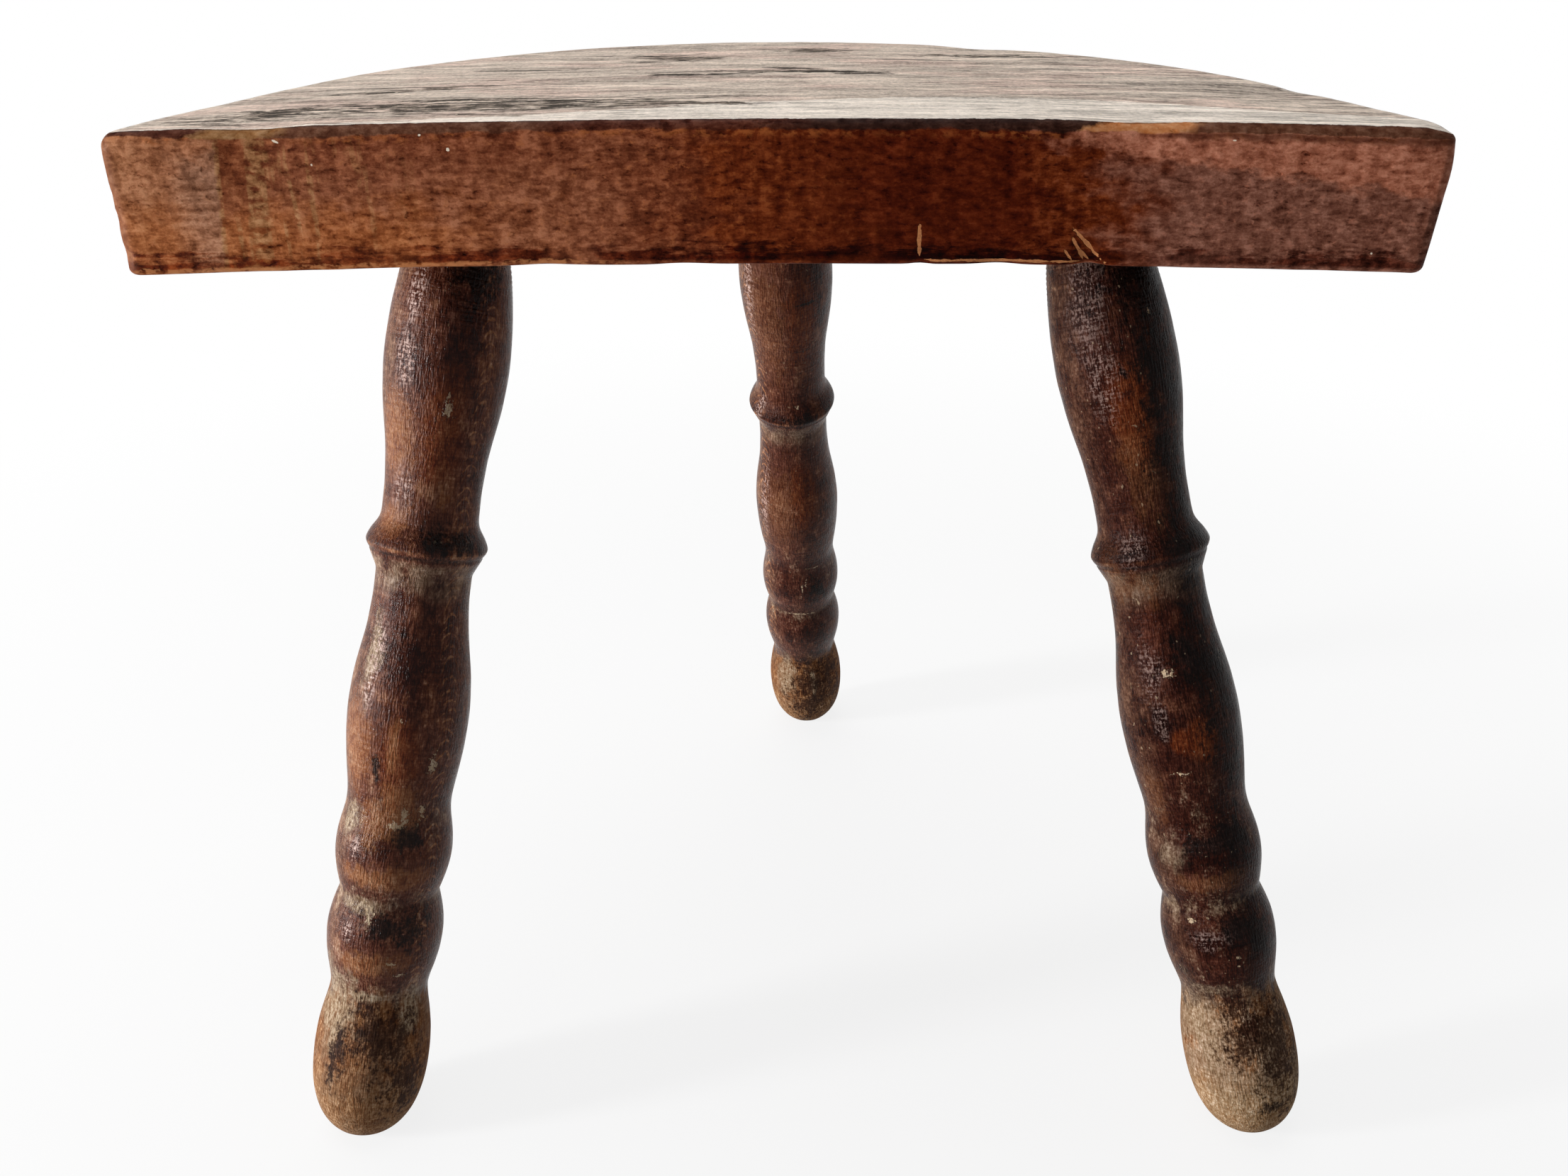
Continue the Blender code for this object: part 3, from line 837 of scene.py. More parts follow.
def worn_arris(finish, x, run, mottle, dab, seat):
    """Colour of the upper arris: dark varnish, rubbed off it in two places with slanting ends."""
    place = finish.total(x, finish.times(run, 1.6), (mottle, 11), (dab, 4))
    return finish.ramp(plank_share(finish, place), (
        (0.0, seat.arris), (0.082, seat.arris), (0.092, seat.olive), (0.138, seat.olive),
        (0.155, seat.umber), (0.318, seat.umber), (0.372, seat.arris), (0.50, seat.arris),
        (0.55, seat.char), (0.742, seat.char), (0.750, seat.raw), (0.812, seat.raw),
        (0.828, seat.umber), (1.0, seat.umber)))


def stained_rim(finish, spot, run, seat):
    """Colour and height of the stained rim: one tone flowing into the next along the plank, mottled and
    pitted, warmer below, with a lap mark, a dark upper arris, a rubbed lower one and a few splinters."""
    x, y, z = finish.axes(spot)
    wide = finish.noise(spot, (36, 36, 15), 3.0)
    mottle = finish.noise(spot, (7.0, 7.0, 4.6), 4.0, 0.58)
    dab = finish.noise(spot, (2.7, 2.7, 1.8), 3.0, 0.55)
    brush = finish.noise(spot, (2.6, 2.6, 12), 2.0, 0.5)
    pit = finish.noise(spot, (3.0, 3.0, 1.1), 3.0, 0.55)
    grit = finish.noise(spot, (0.7, 0.7, 0.5), 3.0, 0.7)
    along = finish.total(x, (wide, 50), (mottle, 30))
    share = plank_share(finish, along)
    base = finish.ramp(share, (
        (0.0, seat.tan), (0.17, seat.russet), (0.33, seat.russet), (0.49, seat.rust), (0.58, seat.maroon),
        (0.69, seat.maroon), (0.74, seat.rust), (0.787, seat.mauve), (1.0, seat.mauve)))
    level = finish.total(z, (mottle, 26), (wide, 10))
    base = finish.lay(base, seat.ember, finish.step(level, -12, -24), finish.step(along, -42, -88), 0.65)
    slant = finish.total(z, finish.line(x, 0.115, -6.525), (mottle, 12))
    base = finish.lay(base, seat.brick, finish.step(slant, -5.6, -3.4), finish.step(along, 58, 76), 0.95)

    mark = finish.total(finish.line(z, -0.10, -2.0), x, (dab, 1.0))
    film = finish.times(finish.step(mark, -125.4, -126.2), finish.step(x, -139, -129))
    base = finish.lay(base, seat.film, film, finish.step(level, -1, -10), 0.38)
    beside = finish.between(mark, -126, -125.2, -118, -106)
    base = finish.lay(base, finish.gamma(base, 1.35), beside, finish.step(level, -24, -10), 0.9)
    streak = finish.noise(spot, (2.8, 2.8, 26), 3.0, 0.6)
    drip = finish.math("ABSOLUTE", finish.total(mark, (streak, 10), 117.0))
    lap = finish.math("ABSOLUTE", finish.total(mark, 125.6))
    streaks = finish.times(finish.step(streak, 0.54, 0.63), finish.step(x, -70, -112))
    pale = finish.chain("MAXIMUM", (streaks, finish.step(drip, 3.2, 1.6), finish.step(lap, 0.9, 0.3)))
    base = finish.lay(base, seat.olive, pale, finish.step(mark, -127, -126),
                      finish.step(dab, 0.36, 0.54), 0.62)

    shade = finish.times(finish.step(level, -18, -5), finish.between(along, -135, -95, -60, -25))
    base = finish.lay(base, finish.gamma(base, 1.2), shade, 0.8)
    calm = finish.line(finish.step(along, 50, 80), -0.45, 1.0)
    thick = finish.between(along, -6, 14, 48, 66)
    tone = finish.total(finish.times(finish.shift(mottle, 2.1), calm), (dab, 2.0), (pit, -1.7), (brush, 0.9),
                        (grit, 1.2))
    tone = finish.math("MINIMUM", finish.times(tone, finish.line(thick, -0.30, 1.0)), 0.48)
    base = finish.gamma(base, finish.line(tone, -0.35, 1.0))
    base = finish.scale(base, finish.math("MAXIMUM", finish.line(tone, 0.6, 1.0), 0.25))
    pits = finish.times(finish.step(pit, 0.56, 0.76), finish.step(wide, 0.34, 0.54))
    base = finish.lay(base, finish.gamma(base, 1.4), pits, 0.8)
    flake_tone = finish.ramp(share, (
        (0.0, seat.tan), (0.45, seat.ember), (0.57, seat.rust), (0.70, seat.rust), (0.80, seat.brick),
        (1.0, seat.brick)))
    base = finish.lay(base, flake_tone, finish.step(finish.total(dab, (grit, 0.5)), 0.58, 0.72), 0.45)

    smear = finish.noise(spot, (13, 13, 2.0), 5.0, 0.65)
    low = finish.total(z, (smear, 16), (dab, 3))
    dark = finish.times(finish.step(low, -26.6, -29.4), finish.step(z, -31.4, -30.4))
    base = finish.lay(base, finish.gamma(base, 1.75), dark, finish.step(wide, 0.34, 0.50), 0.95)
    rubbed = finish.between(finish.total(z, (mottle, 2.6), (dab, 1.6)), -31.9, -31.4, -30.7, -30.3)
    base = finish.lay(base, seat.raw, rubbed, finish.step(dab, 0.42, 0.54),
                      finish.step(along, -25, -55), 0.6)

    band = finish.total(run, (mottle, 2.6), (dab, 0.8), finish.times(finish.step(x, -120, -150), 1.3))
    below = finish.between(band, 3.6, 4.0, 4.4, 5.8)
    base = finish.lay(base, seat.ember, below, finish.step(dab, 0.44, 0.58),
                      finish.step(wide, 0.44, 0.56), 0.5)
    base = finish.lay(base, seat.arris, below, finish.step(x, 82, 92), 0.7)
    arris = worn_arris(finish, x, run, mottle, dab, seat)
    arris = finish.gamma(arris, finish.math("SUBTRACT", 1.0, finish.times(tone, 0.4)))
    behind = finish.step(y, 3, 14)
    fresh = finish.line(behind, -0.40, 0.95)
    base = finish.lay(base, arris, finish.step(band, 4.0, 3.4), fresh)
    hairline = finish.between(run, 0.2, 0.6, 0.8, 1.5)
    base = finish.lay(base, seat.char, hairline, finish.step(mottle, 0.40, 0.56), fresh, 0.63)
    # Painted shade: the ends and the back are darkened, and the left end more, so that the end facing the
    # key light does not show bright.
    base = finish.lay(base, finish.scale(finish.gamma(base, 1.12), 0.62), behind)
    base = finish.lay(base, seat.umber, finish.step(x, -146.5, -149.4), 0.7)

    chip = finish.total(nearest_blot(finish, spot, RAW_BLOTS, flat=False), (dab, 2.4))
    chip = finish.step(chip, 1.05, 0.85)
    base = finish.lay(base, finish.ramp(grit, ((0.3, seat.tan), (0.6, seat.raw))), chip, 0.95)
    speck = finish.total(nearest_blot(finish, spot, SPECK_BLOTS, flat=False), (grit, 1.5))
    base = finish.lay(base, SPECK, finish.step(speck, 1.1, 0.8), 0.9)
    relief = finish.total(finish.times(mottle, 0.5), finish.times(dab, 0.3), finish.times(grit, 0.08))
    relief = finish.math("SUBTRACT", relief, finish.total(finish.times(chip, 0.5), finish.times(pits, 0.25)))
    return base, relief


def sawn_underside(finish, spot, seat):
    """Colour of the underside: thin stain taken up unevenly along the grain, open pores, faint saw marks."""
    grain = finish.sway(spot, (80, 40, ENDLESS), (0, 8, 0))
    ring = finish.noise(grain, (95, 7.5, ENDLESS), 4.0, 0.6)
    fibre = finish.noise(grain, (13, 1.3, ENDLESS), 4.0, 0.68)
    pore = finish.noise(grain, (15, 0.9, ENDLESS), 2.0)
    saw = finish.noise(spot, (1.9, 60, ENDLESS), 2.0)
    soaked = finish.noise(spot, (46, 30, ENDLESS), 4.0, 0.6)
    base = finish.mix(finish.step(ring, 0.38, 0.62), seat.under, seat.mauve)
    base = finish.lay(base, seat.tan, finish.step(soaked, 0.54, 0.72), 0.3)
    tone = finish.total((ring, 1.3), (fibre, 2.0), (saw, 0.7), (soaked, 0.8))
    base = finish.scale(base, finish.math("MAXIMUM", finish.line(tone, 0.8, 0.95), 0.25))
    return finish.lay(base, finish.gamma(base, 1.4), finish.step(pore, 0.58, 0.68), 0.8)


def plank_finish(seat):
    """Bare top, stained rim and thinly stained underside on one skin."""
    finish = Finish("weathered_plank")
    spot = finish.attribute("spot", "Vector")
    run = finish.attribute("run")
    top, top_height = bare_top(finish, spot, run, seat)
    rim, rim_height = stained_rim(finish, spot, run, seat)
    frayed = finish.noise(spot, (3, 3, 3), 4.0, 0.65)
    off_top = finish.step(finish.total(run, (frayed, 1.8)), 0.3, 0.6)
    base = finish.mix(off_top, top, rim)
    base = finish.mix(finish.step(run, 33.5, 34.5), base, sawn_underside(finish, spot, seat))
    height = finish.add("ShaderNodeMix", {0: off_top, 2: top_height, 3: rim_height})
    gloss = finish.times(off_top, finish.step(rim_height, 0.25, 0.55), 0.40)
    return finish.end(base, finish.math("SUBTRACT", 0.85, gloss), height, 0.5 * MM, 0.03)


class LegLook(NamedTuple):
    """What sets one leg's finish apart: how far its stain is darkened, worn and gritty, how pale its foot
    is, where its growth rings show as arcs, how strong its orange marks are, and its own marks. A mark is
    its turn from the front in degrees, positive to the right, its distance below the seat, and its half
    sizes round the leg and along it, in millimetres."""

    dark: float
    worn: float
    gritty: float
    foot: float
    arcs: float
    glow: float
    orange: tuple
    rust: tuple
    deep: tuple
    black: tuple
    wet: tuple
    dust_and_sheen: tuple
    sheen_marks: tuple
    nicks: tuple


LEG_LOOKS = {
    "leg_front_left": LegLook(
        dark=0.0, worn=0.6, gritty=0.3, foot=0.14, arcs=52.0, glow=0.62,
        orange=(
            (-45, 147, 6, 13), (1, 146, 1.8, 9), (10, 163, 6, 9), (-12, 168, 4, 8), (0, 185, 18, 4),
            (-5, 211, 12, 4), (25, 73, 3, 5), (-40, 60, 7, 12), (-35, 82, 6, 6)),
        rust=((14, 60, 7, 20), (8, 150, 6, 14)),
        deep=((6, 126, 9, 15), (34, 118, 6, 20), (-5, 174, 6, 4), (24, 40, 6, 18)),
        # The mark under the seat at 35 degrees and 12 mm is painted shade; the others are black soiling.
        black=(
            (35, 12, 6, 9), (41, 87, 8, 4), (26, 172, 3.4, 3), (12, 199.6, 7, 3.6), (40, 200, 5, 4),
            (-24, 237, 0.9, 3.5), (-29, 246, 0.9, 4.5), (-15, 153, 1.2, 4)),
        wet=((22, 233, 8, 8), (5, 228, 4, 4), (-24, 240, 2, 7), (50, 248, 6, 8)),
        # The mark 121 mm below the seat is a painted highlight; the others are pale dust.
        dust_and_sheen=(
            (-40, 225, 9, 12), (52, 225, 5, 9), (0, 222, 12, 2), (-45, 170, 4, 5), (-20, 194, 7, 2.4),
            (-36, 121, 2.6, 13)),
        sheen_marks=(
            (-26, 22, 2.4, 8), (-27, 39, 2.8, 7), (-27, 74, 3, 6), (-31, 116, 2.4, 6),
            (-32, 127, 2.4, 8), (-30, 177, 1.6, 3), (-28, 202, 1.6, 2.6)),
        nicks=(
            (10, 168.4, 1.7, 0.8), (19.5, 165, 0.9, 1.9), (37, 164, 0.7, 2.0), (-7, 196, 0.9, 2.4),
            (40, 150, 0.8, 2.8), (17, 50, 1.0, 2.0), (6, 137, 0.3, 0.4), (30, 214, 1.0, 0.5),
            (22, 210, 0.9, 0.5))),
    "leg_front_right": LegLook(
        dark=1.0, worn=0.12, gritty=1.0, foot=0.58, arcs=-150.0, glow=0.20,
        orange=(
            (-10, 62, 4, 8), (-10, 185, 14, 3.5), (-57, 96, 4, 8), (-57, 158, 4, 8), (-30, 98, 8, 5),
            (5, 72, 6, 10)),
        rust=((-11.4, 141.5, 2.7, 3.9), (8, 142, 5, 7), (-2, 52, 6, 16)),
        deep=((-30, 135, 6, 6), (20, 120, 10, 16), (0, 178, 12, 5), (0, 203, 14, 5)),
        # The long marks down the right side are painted shade as well as black soiling.
        black=(
            (38, 14, 11, 28), (40, 55, 9, 38), (14, 118, 4, 7), (14, 200, 7, 4), (0, 173, 7, 3),
            (42, 130, 8, 28), (34, 88, 8, 4), (28, 173, 6, 5), (32, 203, 5, 6), (16, 258, 4, 2),
            (6, 230, 2.4, 4), (46, 92, 6, 32)),
        wet=((8, 233, 7, 9), (34, 240, 6, 16), (-4, 226, 4, 5)),
        dust_and_sheen=((-54, 227, 7, 10), (-27, 256, 10, 5), (-45, 176, 4, 5), (-30, 219, 10, 2)),
        sheen_marks=(
            (-30, 20, 5, 14), (-24, 40, 4, 10), (-27, 86, 3.6, 5), (-32, 122, 3, 9), (-27, 134, 2, 6),
            (-20, 202, 5, 3)),
        nicks=(
            (31, 25.7, 0.5, 0.5), (6, 208, 0.4, 0.4), (6, 211, 0.3, 0.3), (-37, 196.6, 0.8, 0.8),
            (-18, 151, 2.0, 0.4), (-13, 122, 1.4, 1.0), (0, 187, 0.3, 0.3))),
    "leg_rear": LegLook(
        dark=0.40, worn=0.35, gritty=0.45, foot=0.12, arcs=-58.0, glow=0.20,
        orange=((-30, 50, 8, 28), (-25, 130, 7, 18)),
        rust=((20, 50, 6, 24), (15, 125, 6, 18)),
        deep=((30, 45, 7, 30), (25, 130, 7, 20), (5, 178, 10, 5), (5, 204, 10, 5)),
        black=((29, 40, 3, 0.4), (31, 60, 3, 0.4), (24, 70, 4, 0.4), (25, 178, 3, 4), (15, 89, 10, 1.6)),
        wet=((36, 236, 10, 20), (6, 238, 4.6, 22), (10, 250, 10, 8)),
        dust_and_sheen=((-34, 232, 5, 13), (15, 236, 1.4, 7)),
        sheen_marks=((-52, 30, 2, 22), (-52, 86, 2, 5), (-52, 130, 2, 16)),
        nicks=(
            (24, 165.7, 2, 0.5), (3, 175, 0.3, 2), (9, 172, 0.3, 1.6), (2, 192, 6, 0.5),
            (14.6, 231, 0.8, 1.2), (13.4, 241, 0.7, 1.2), (10, 84, 0.5, 0.6))),
}


def nearest_mark(finish, turned, marks):
    """Distance from the nearest of several marks on a leg, in shares of its size."""
    far = []
    for turn, down, wide, high in marks:
        angle = radians(turn)
        centre = (MARK_RADIUS * np.cos(angle), MARK_RADIUS * np.sin(angle), down)
        far.append(finish.spot(turned, centre, (MARK_DEPTH, wide, high), (0.0, 0.0, angle)))
    return finish.chain("MINIMUM", far)


def ring_arcs(finish, turned, along, legs, turn):
    """Growth rings where the turning has cut along them: nested arcs, each the place along the leg plus the
    square of the way round from the middle of the figure, and lost to both sides of it."""
    wavy = finish.sway(turned, (9, 9, 12), (2.2, 2.2, 0.0))
    sine = np.sin(radians(turn))
    cosine = np.cos(radians(turn))
    across = finish.vector("DOT_PRODUCT", wavy, (-sine, cosine, 0.0))
    outward = finish.vector("DOT_PRODUCT", turned, (cosine, sine, 0.0))
    bent = finish.times(finish.math("POWER", across, 2.0), -ARC_CURVE)
    wander = finish.noise(turned, (8, 8, 10), 2.0)
    phase = finish.total(along, bent, (wander, 8))
    wave = finish.math("SINE", finish.times(phase, 2 * pi * MM / legs.ring_spacing))
    reach = finish.math("ABSOLUTE", across)
    inside = finish.times(finish.step(reach, 3.6, 1.6), finish.step(outward, 4, 9))
    return finish.times(finish.step(wave, 0.55, 0.95), inside)


def leg_finish(name, legs, look, form):
    """Red-brown stain over a pored wood: worn to orange in places, with dust in its grooves, black soiling
    in places, and gone from the foot, whose toe is rubbed clean. Painted light besides: paler stain on its
    left, where the key light falls, a greyish sheen where it glints, and shade under the seat and the
    collar's crest."""
    finish = Finish(name)
    turned = finish.attribute("turned", "Vector")
    relief = finish.attribute("relief")
    _, side, along = finish.axes(turned)
    wavy = finish.sway(turned, (4, 4, 6), (0.9, 0.9, 0.0))
    drift = finish.noise(turned, (14, 14, 26), 3.0, 0.55)
    patch = finish.noise(turned, (5.5, 5.5, 8.5), 6.0, 0.70)
    fleck = finish.noise(turned, (1.5, 1.5, 2.4), 4.0, 0.65)
    pore = finish.noise(wavy, (0.46, 0.46, 3.6), 2.0, 0.5)
    grit = finish.noise(turned, (0.8, 0.8, 0.8), 3.0, 0.65)
    lathe = finish.noise(turned, (16, 16, 0.6), 2.0, 0.5)

    def within(marks, rim, core, *clouds):
        """From 0 at the rim of the nearest mark to 1 at its core, with an outline that clouds fray."""
        return finish.step(finish.total(nearest_mark(finish, turned, marks), *clouds), rim, core)

    base = finish.mix(finish.step(drift, 0.34, 0.62), legs.deep, legs.stain)
    base = finish.lay(base, legs.dim, finish.step(drift, 0.20, 0.46), look.dark)
    rubbed = finish.step(finish.total(patch, (drift, 0.5)), 0.54, 0.70)
    base = finish.lay(base, legs.worn, rubbed, 0.4 * look.worn)
    # Painted light: the stain paler on the left of the leg, where the key light falls.
    painted_paler = finish.times(finish.step(side, -8, -14), finish.step(patch, 0.30, 0.68))
    base = finish.lay(base, legs.lit_side_tint, painted_paler, 0.2 + 0.9 * look.worn)
    deep = within(look.deep, 1.3, 0.5, (patch, 3.0))
    base = finish.lay(base, finish.gamma(base, 1.28), deep, 0.9)
    rust = within(look.rust, 1.2, 0.6, (patch, 2.0))
    base = finish.lay(base, legs.rust, rust, 0.65 - 0.15 * look.dark)
    orange = within(look.orange, 1.25, 0.55, (patch, 4.0), (fleck, 2.0))
    base = finish.lay(base, legs.worn, orange, look.glow)
    arcs = ring_arcs(finish, turned, along, legs, look.arcs)
    base = finish.lay(base, legs.worn, arcs, finish.step(fleck, 0.40, 0.54), 0.7)
    tool = finish.times(finish.step(lathe, 0.55, 0.66), finish.step(along, 30, 10))
    base = finish.lay(base, legs.worn, tool, finish.step(fleck, 0.42, 0.58), 0.35 * look.worn + 0.1)

    # Painted shade: the top of the leg darkened under the seat.
    seat_shade = finish.step(finish.total(along, (drift, 24)), 13, 1)
    base = finish.lay(base, legs.grime_and_shade, seat_shade, 0.5)
    collar = finish.total(along, -form.collar / MM, (fleck, 1.6))
    shoulder = finish.between(collar, -8.0, -2.0, -0.4, 0.2)
    base = finish.lay(base, finish.gamma(base, 1.3), shoulder, 0.8)
    crest = finish.between(collar, -0.5, 0.0, 0.4, 0.9)
    base = finish.lay(base, legs.worn, crest, finish.step(patch, 0.44, 0.60), 0.4 - 0.35 * look.dark)
    # Painted shade: a black line under the collar's crest.
    lip = finish.between(collar, 0.8, 1.4, 2.0, 2.8)
    base = finish.lay(base, legs.grime_and_shade, lip, finish.step(patch, 0.36, 0.52), 0.65)
    cove = finish.between(collar, 2.2, 4.4, 8.0, 16.0)
    base = finish.lay(base, legs.dust, cove, finish.step(patch, 0.34, 0.60), 0.10 + 0.45 * look.worn)
    hollow = finish.math("SUBTRACT", finish.total((grit, 1.6), (patch, 4.5)), relief)
    base = finish.lay(base, legs.dust, finish.step(hollow, 0.15, 1.5), finish.step(along, 150, 165), 0.4)

    foot_top = form.foot / MM
    foot = finish.step(finish.total(along, (drift, 10), (patch, 26)), foot_top - 3, foot_top + 4)
    wood = finish.mix(look.foot, legs.foot_mid, legs.foot)
    browned = finish.total(patch, (drift, 0.9), (fleck, 0.6))
    wood = finish.lay(wood, legs.foot_mid, finish.step(browned, 0.50, 0.62), 0.8)
    wood = finish.lay(wood, legs.foot, finish.step(browned, 0.46, 0.36), 0.2 + 0.5 * look.foot)
    toe = finish.step(finish.total(along, (patch, 30)), foot_top + 20, foot_top + 34)
    wood = finish.lay(wood, legs.toe, toe, 0.15 + 0.6 * look.foot)
    base = finish.lay(base, wood, foot, 0.94)
    broken = finish.line(finish.step(finish.total(fleck, (grit, 0.7)), 0.38, 0.60), 0.55, 0.45)
    # Pale dust, and a painted highlight on the left leg's calf.
    dust_and_sheen_share = within(look.dust_and_sheen, 1.3, 0.4, (patch, 3.5))
    base = finish.lay(base, legs.dust, dust_and_sheen_share, broken, 0.85 - 0.5 * look.dark)
    # Black soiling, and painted shade where the marks run down the right side of a leg or lie under the
    # seat.
    dirt_and_shade = within(look.black, 1.45, 0.35, (patch, 4.5), (fleck, 2.6), (grit, 1.4))
    base = finish.lay(base, legs.grime_and_shade, dirt_and_shade, 0.86)
    wet = within(look.wet, 1.6, 0.3, (patch, 4.0), (fleck, 4.0), (grit, 3.0))
    base = finish.lay(base, legs.foot_dark, wet, 0.85)
    nick = within(look.nicks, 1.1, 0.5, (grit, 6.0), (fleck, 5.0))
    base = finish.lay(base, legs.nick, nick, 0.85)

    # Painted highlight: a greyish sheen, broken up by the pores, where the key light glints on the left of a
    # leg.
    crazed = finish.step(finish.total((pore, 1.0), (grit, 1.6), (lathe, 0.8)), -0.06, 0.20)
    painted_sheen = within(look.sheen_marks, 1.5, 0.3, (patch, 2.6), (fleck, 1.6))
    base = finish.lay(base, legs.painted_sheen, painted_sheen, crazed, 0.94 - 0.68 * look.dark)
    tone = finish.total((patch, 1.1), (fleck, 1.0), (pore, 1.5), (grit, 0.5 + 0.7 * look.gritty),
                        (lathe, 0.4))
    calm = finish.line(foot, 0.1 + 0.3 * look.dark, 1.0 - 0.3 * look.dark)
    base = finish.gamma(base, finish.math("SUBTRACT", 1.0, finish.times(tone, calm)))
    base = finish.lay(base, finish.gamma(base, 1.5), finish.step(pore, 0.57, 0.67), 0.9)
    speck = finish.noise(turned, (1.1, 1.1, 1.3), 0.0)
    base = finish.lay(base, legs.dust, finish.step(speck, 0.80, 0.85), 0.15 + 0.35 * look.gritty)
    height = finish.total(finish.times(pore, -0.8), finish.times(fleck, 0.35), finish.times(lathe, 0.3),
                          finish.times(grit, 0.45), finish.times(nick, 0.3))
    dull = finish.step(patch, 0.40, 0.60)
    roughness = finish.total(0.20, finish.times(dull, 0.16), finish.times(foot, 0.44))
    return finish.end(base, roughness, height, 0.42 * MM, 0.07 - 0.035 * look.dark)


# The stage

FLOOR_POINTS = 96
FLOOR_FADE = (0.20, 0.75)
FLOOR_WHITE = 0.84


def seen(tree):
    """1 on what the camera sees, straight or in a shine or through glass, and 0 on what only gives light."""
    path = tree.nodes.new("ShaderNodeLightPath").outputs
    result = path["Is Camera Ray"]
    for other in ("Is Glossy Ray", "Is Transmission Ray"):
        both = tree.nodes.new("ShaderNodeMath")
        tree.links.new(result, both.inputs[0])
        tree.links.new(path[other], both.inputs[1])
        result = both.outputs[0]
    return result


def floor_finish(stage):
    """Matt, pale floor that runs out to white before the camera and keeps the shadow near the stool."""
    finish = Finish("pale_floor")
    nodes = finish.tree.nodes
    nodes.remove(finish.shader)
    far = finish.vector("LENGTH", finish.add("ShaderNodeTexCoord", {}, "Object"))
    fade = finish.line(finish.step(far, *FLOOR_FADE), 1.0 - FLOOR_WHITE, FLOOR_WHITE)
    matt = finish.add("ShaderNodeBsdfDiffuse", {"Color": (*stage.floor, 1.0)})
    white = finish.add("ShaderNodeEmission", {"Color": (1.0, 1.0, 1.0, 1.0), "Strength": 1.0})
    share = finish.times(seen(finish.tree), fade)
    shown = finish.add("ShaderNodeMixShader", {0: share, 1: matt, 2: white})
    finish.feed(nodes["Material Output"].inputs["Surface"], shown)
    return finish.material


def make_floor(stage):
    """A round floor: a ring of points around the origin, on the level that the stool stands on."""
    turn = np.linspace(0.0, 2 * pi, FLOOR_POINTS, endpoint=False)
    rim = stage.floor_radius * np.stack([np.cos(turn), np.sin(turn), np.zeros_like(turn)], axis=-1)
    number = np.arange(FLOOR_POINTS)
    fan = np.stack([number, np.roll(number, -1), np.full(FLOOR_POINTS, FLOOR_POINTS)], axis=-1)
    obj = add_mesh("floor", np.vstack([rim, np.zeros(3)]), np.empty((0, 4), int), fan)
    obj.data.materials.append(floor_finish(stage))


class Lamp(NamedTuple):
    """A soft rectangular lamp that faces a point of the stool."""

    name: str
    place: tuple
    target: tuple
    wide: float
    high: float
    power: float


LAMPS = (
    Lamp("window", (-1.96, -0.56, 0.40), (0.0, 0.0, 0.16), 0.24, 0.8, 77.0),
    Lamp("ceiling", (-0.25, 0.25, 1.5), (0.0, 0.0, 0.28), 1.4, 1.2, 15.0),
    Lamp("rim", (1.05, 0.75, 0.45), (0.0, 0.0, 0.15), 0.5, 1.0, 0.5),
)


def make_lamp(lamp):
    """Place a lamp and turn it to its target."""
    light = bpy.data.lights.new(lamp.name, "AREA")
    light.shape = "RECTANGLE"
    light.size = lamp.wide
    light.size_y = lamp.high
    light.energy = lamp.power
    obj = bpy.data.objects.new(lamp.name, light)
    obj.location = lamp.place
    facing = Vector(lamp.target) - Vector(lamp.place)
    obj.rotation_euler = facing.to_track_quat("-Z", "Y").to_euler()
    bpy.context.scene.collection.objects.link(obj)


def make_world(stage):
    """Even light, seen as white by the camera."""
    world = bpy.data.worlds.new("studio")
    world.use_nodes = True
    tree = world.node_tree
    back = tree.nodes["Background"]
    back.inputs["Color"].default_value = (1.0, 1.0, 1.0, 1.0)
    strength = tree.nodes.new("ShaderNodeMapRange")
    strength.inputs["To Min"].default_value = stage.ambient
    strength.inputs["To Max"].default_value = 1.0
    tree.links.new(seen(tree), strength.inputs["Value"])
    tree.links.new(strength.outputs["Result"], back.inputs["Strength"])
    bpy.context.scene.world = world


def make_camera(stage):
    """The camera stands close before the seat, a little above it, and looks down at the legs."""
    data = bpy.data.cameras.new("camera")
    data.lens = stage.lens
    data.sensor_width = 36.0
    data.clip_start = 0.01
    obj = bpy.data.objects.new("camera", data)
    place = Matrix.Translation(Vector(FRONT_EDGE) + Vector(stage.camera_place))
    aim = Matrix.Rotation(-stage.yaw, 4, "Z") @ Matrix.Rotation(pi / 2 - stage.pitch, 4, "X")
    obj.matrix_world = place @ aim @ Matrix.Rotation(stage.roll, 4, "Z")
    bpy.context.scene.collection.objects.link(obj)
    bpy.context.scene.camera = obj


# Operators


class STOOL_OT_plank(bpy.types.Operator):
    """Make the worn plank and let it stand for the CAD seat."""

    bl_idname = "stool.plank"
    bl_label = "Make Plank"

    def execute(self, context):
        seat = context.scene.stool_seat
        hand_over(make_plank(seat), "seat_board", plank_finish(seat))
        return {"FINISHED"}


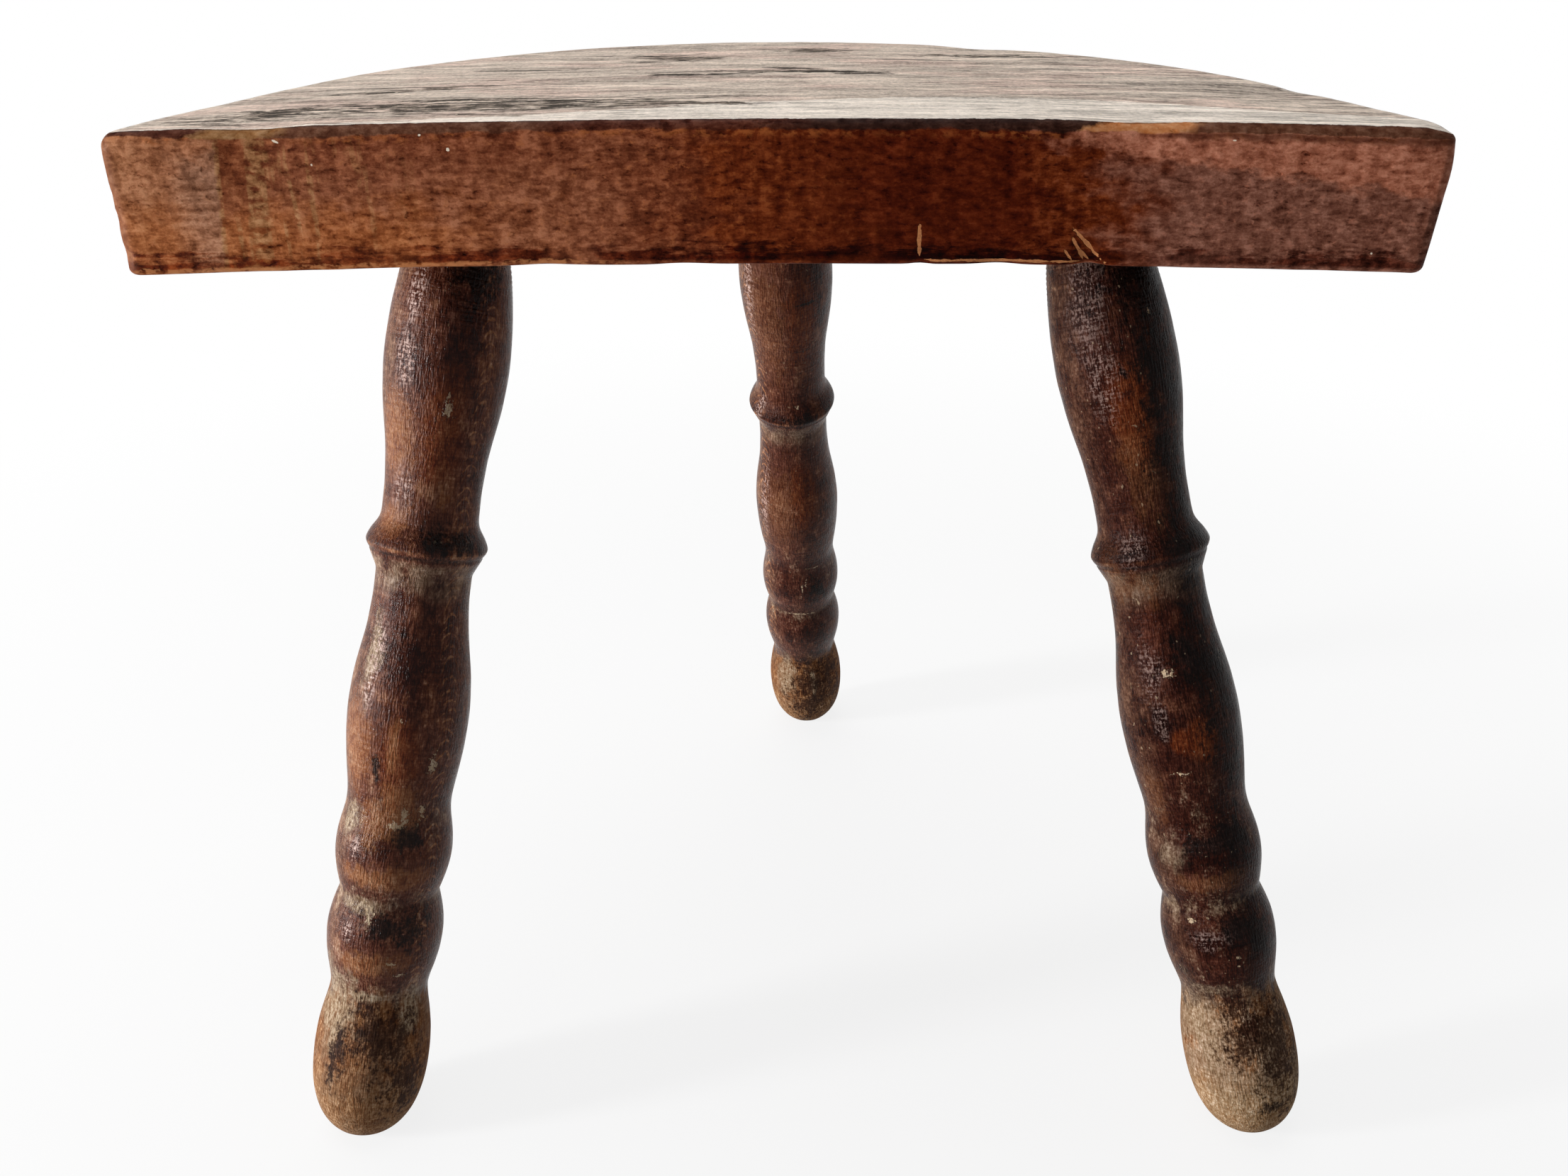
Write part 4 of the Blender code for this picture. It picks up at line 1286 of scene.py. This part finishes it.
class STOOL_OT_legs(bpy.types.Operator):
    """Turn the three legs and let them stand for the CAD legs."""

    bl_idname = "stool.legs"
    bl_label = "Turn Legs"

    def execute(self, context):
        legs = context.scene.stool_legs
        for seed, node in enumerate(LEG_NODES, start=11):
            leg, form = make_leg(node, legs, seed)
            material = leg_finish(f"stained_{node}", legs, LEG_LOOKS[node], form)
            hand_over(leg, node, material)
        return {"FINISHED"}


class STOOL_OT_stage(bpy.types.Operator):
    """Set up the floor, the lights and the camera."""

    bl_idname = "stool.stage"
    bl_label = "Set Stage"

    def execute(self, context):
        stage = context.scene.stool_stage
        make_floor(stage)
        for lamp in LAMPS:
            make_lamp(lamp)
        make_world(stage)
        make_camera(stage)
        context.scene.view_settings.view_transform = "Standard"
        return {"FINISHED"}


class STOOL_PT_panel(bpy.types.Panel):
    """The steps that make the stool, in order."""

    bl_idname = "STOOL_PT_panel"
    bl_label = "Milking Stool"
    bl_space_type = "VIEW_3D"
    bl_region_type = "UI"
    bl_category = "Stool"

    def draw(self, context):
        scene = context.scene
        for step, settings in ((STOOL_OT_plank, scene.stool_seat), (STOOL_OT_legs, scene.stool_legs),
                               (STOOL_OT_stage, scene.stool_stage)):
            box = self.layout.box()
            box.operator(step.bl_idname)
            for name in settings.__annotations__:
                box.prop(settings, name)


CLASSES = (SeatSettings, LegSettings, StageSettings, STOOL_OT_plank, STOOL_OT_legs, STOOL_OT_stage,
           STOOL_PT_panel)


def register():
    """Register the classes and hang the settings on the scene."""
    for item in CLASSES:
        bpy.utils.register_class(item)
    bpy.types.Scene.stool_seat = PointerProperty(type=SeatSettings)
    bpy.types.Scene.stool_legs = PointerProperty(type=LegSettings)
    bpy.types.Scene.stool_stage = PointerProperty(type=StageSettings)


def unregister():
    """Undo register."""
    for name in ("stool_stage", "stool_legs", "stool_seat"):
        delattr(bpy.types.Scene, name)
    for item in reversed(CLASSES):
        bpy.utils.unregister_class(item)


def main():
    """Make the stool and its stage."""
    register()
    bpy.ops.stool.plank()
    bpy.ops.stool.legs()
    bpy.ops.stool.stage()


if __name__ == "__main__":
    main()
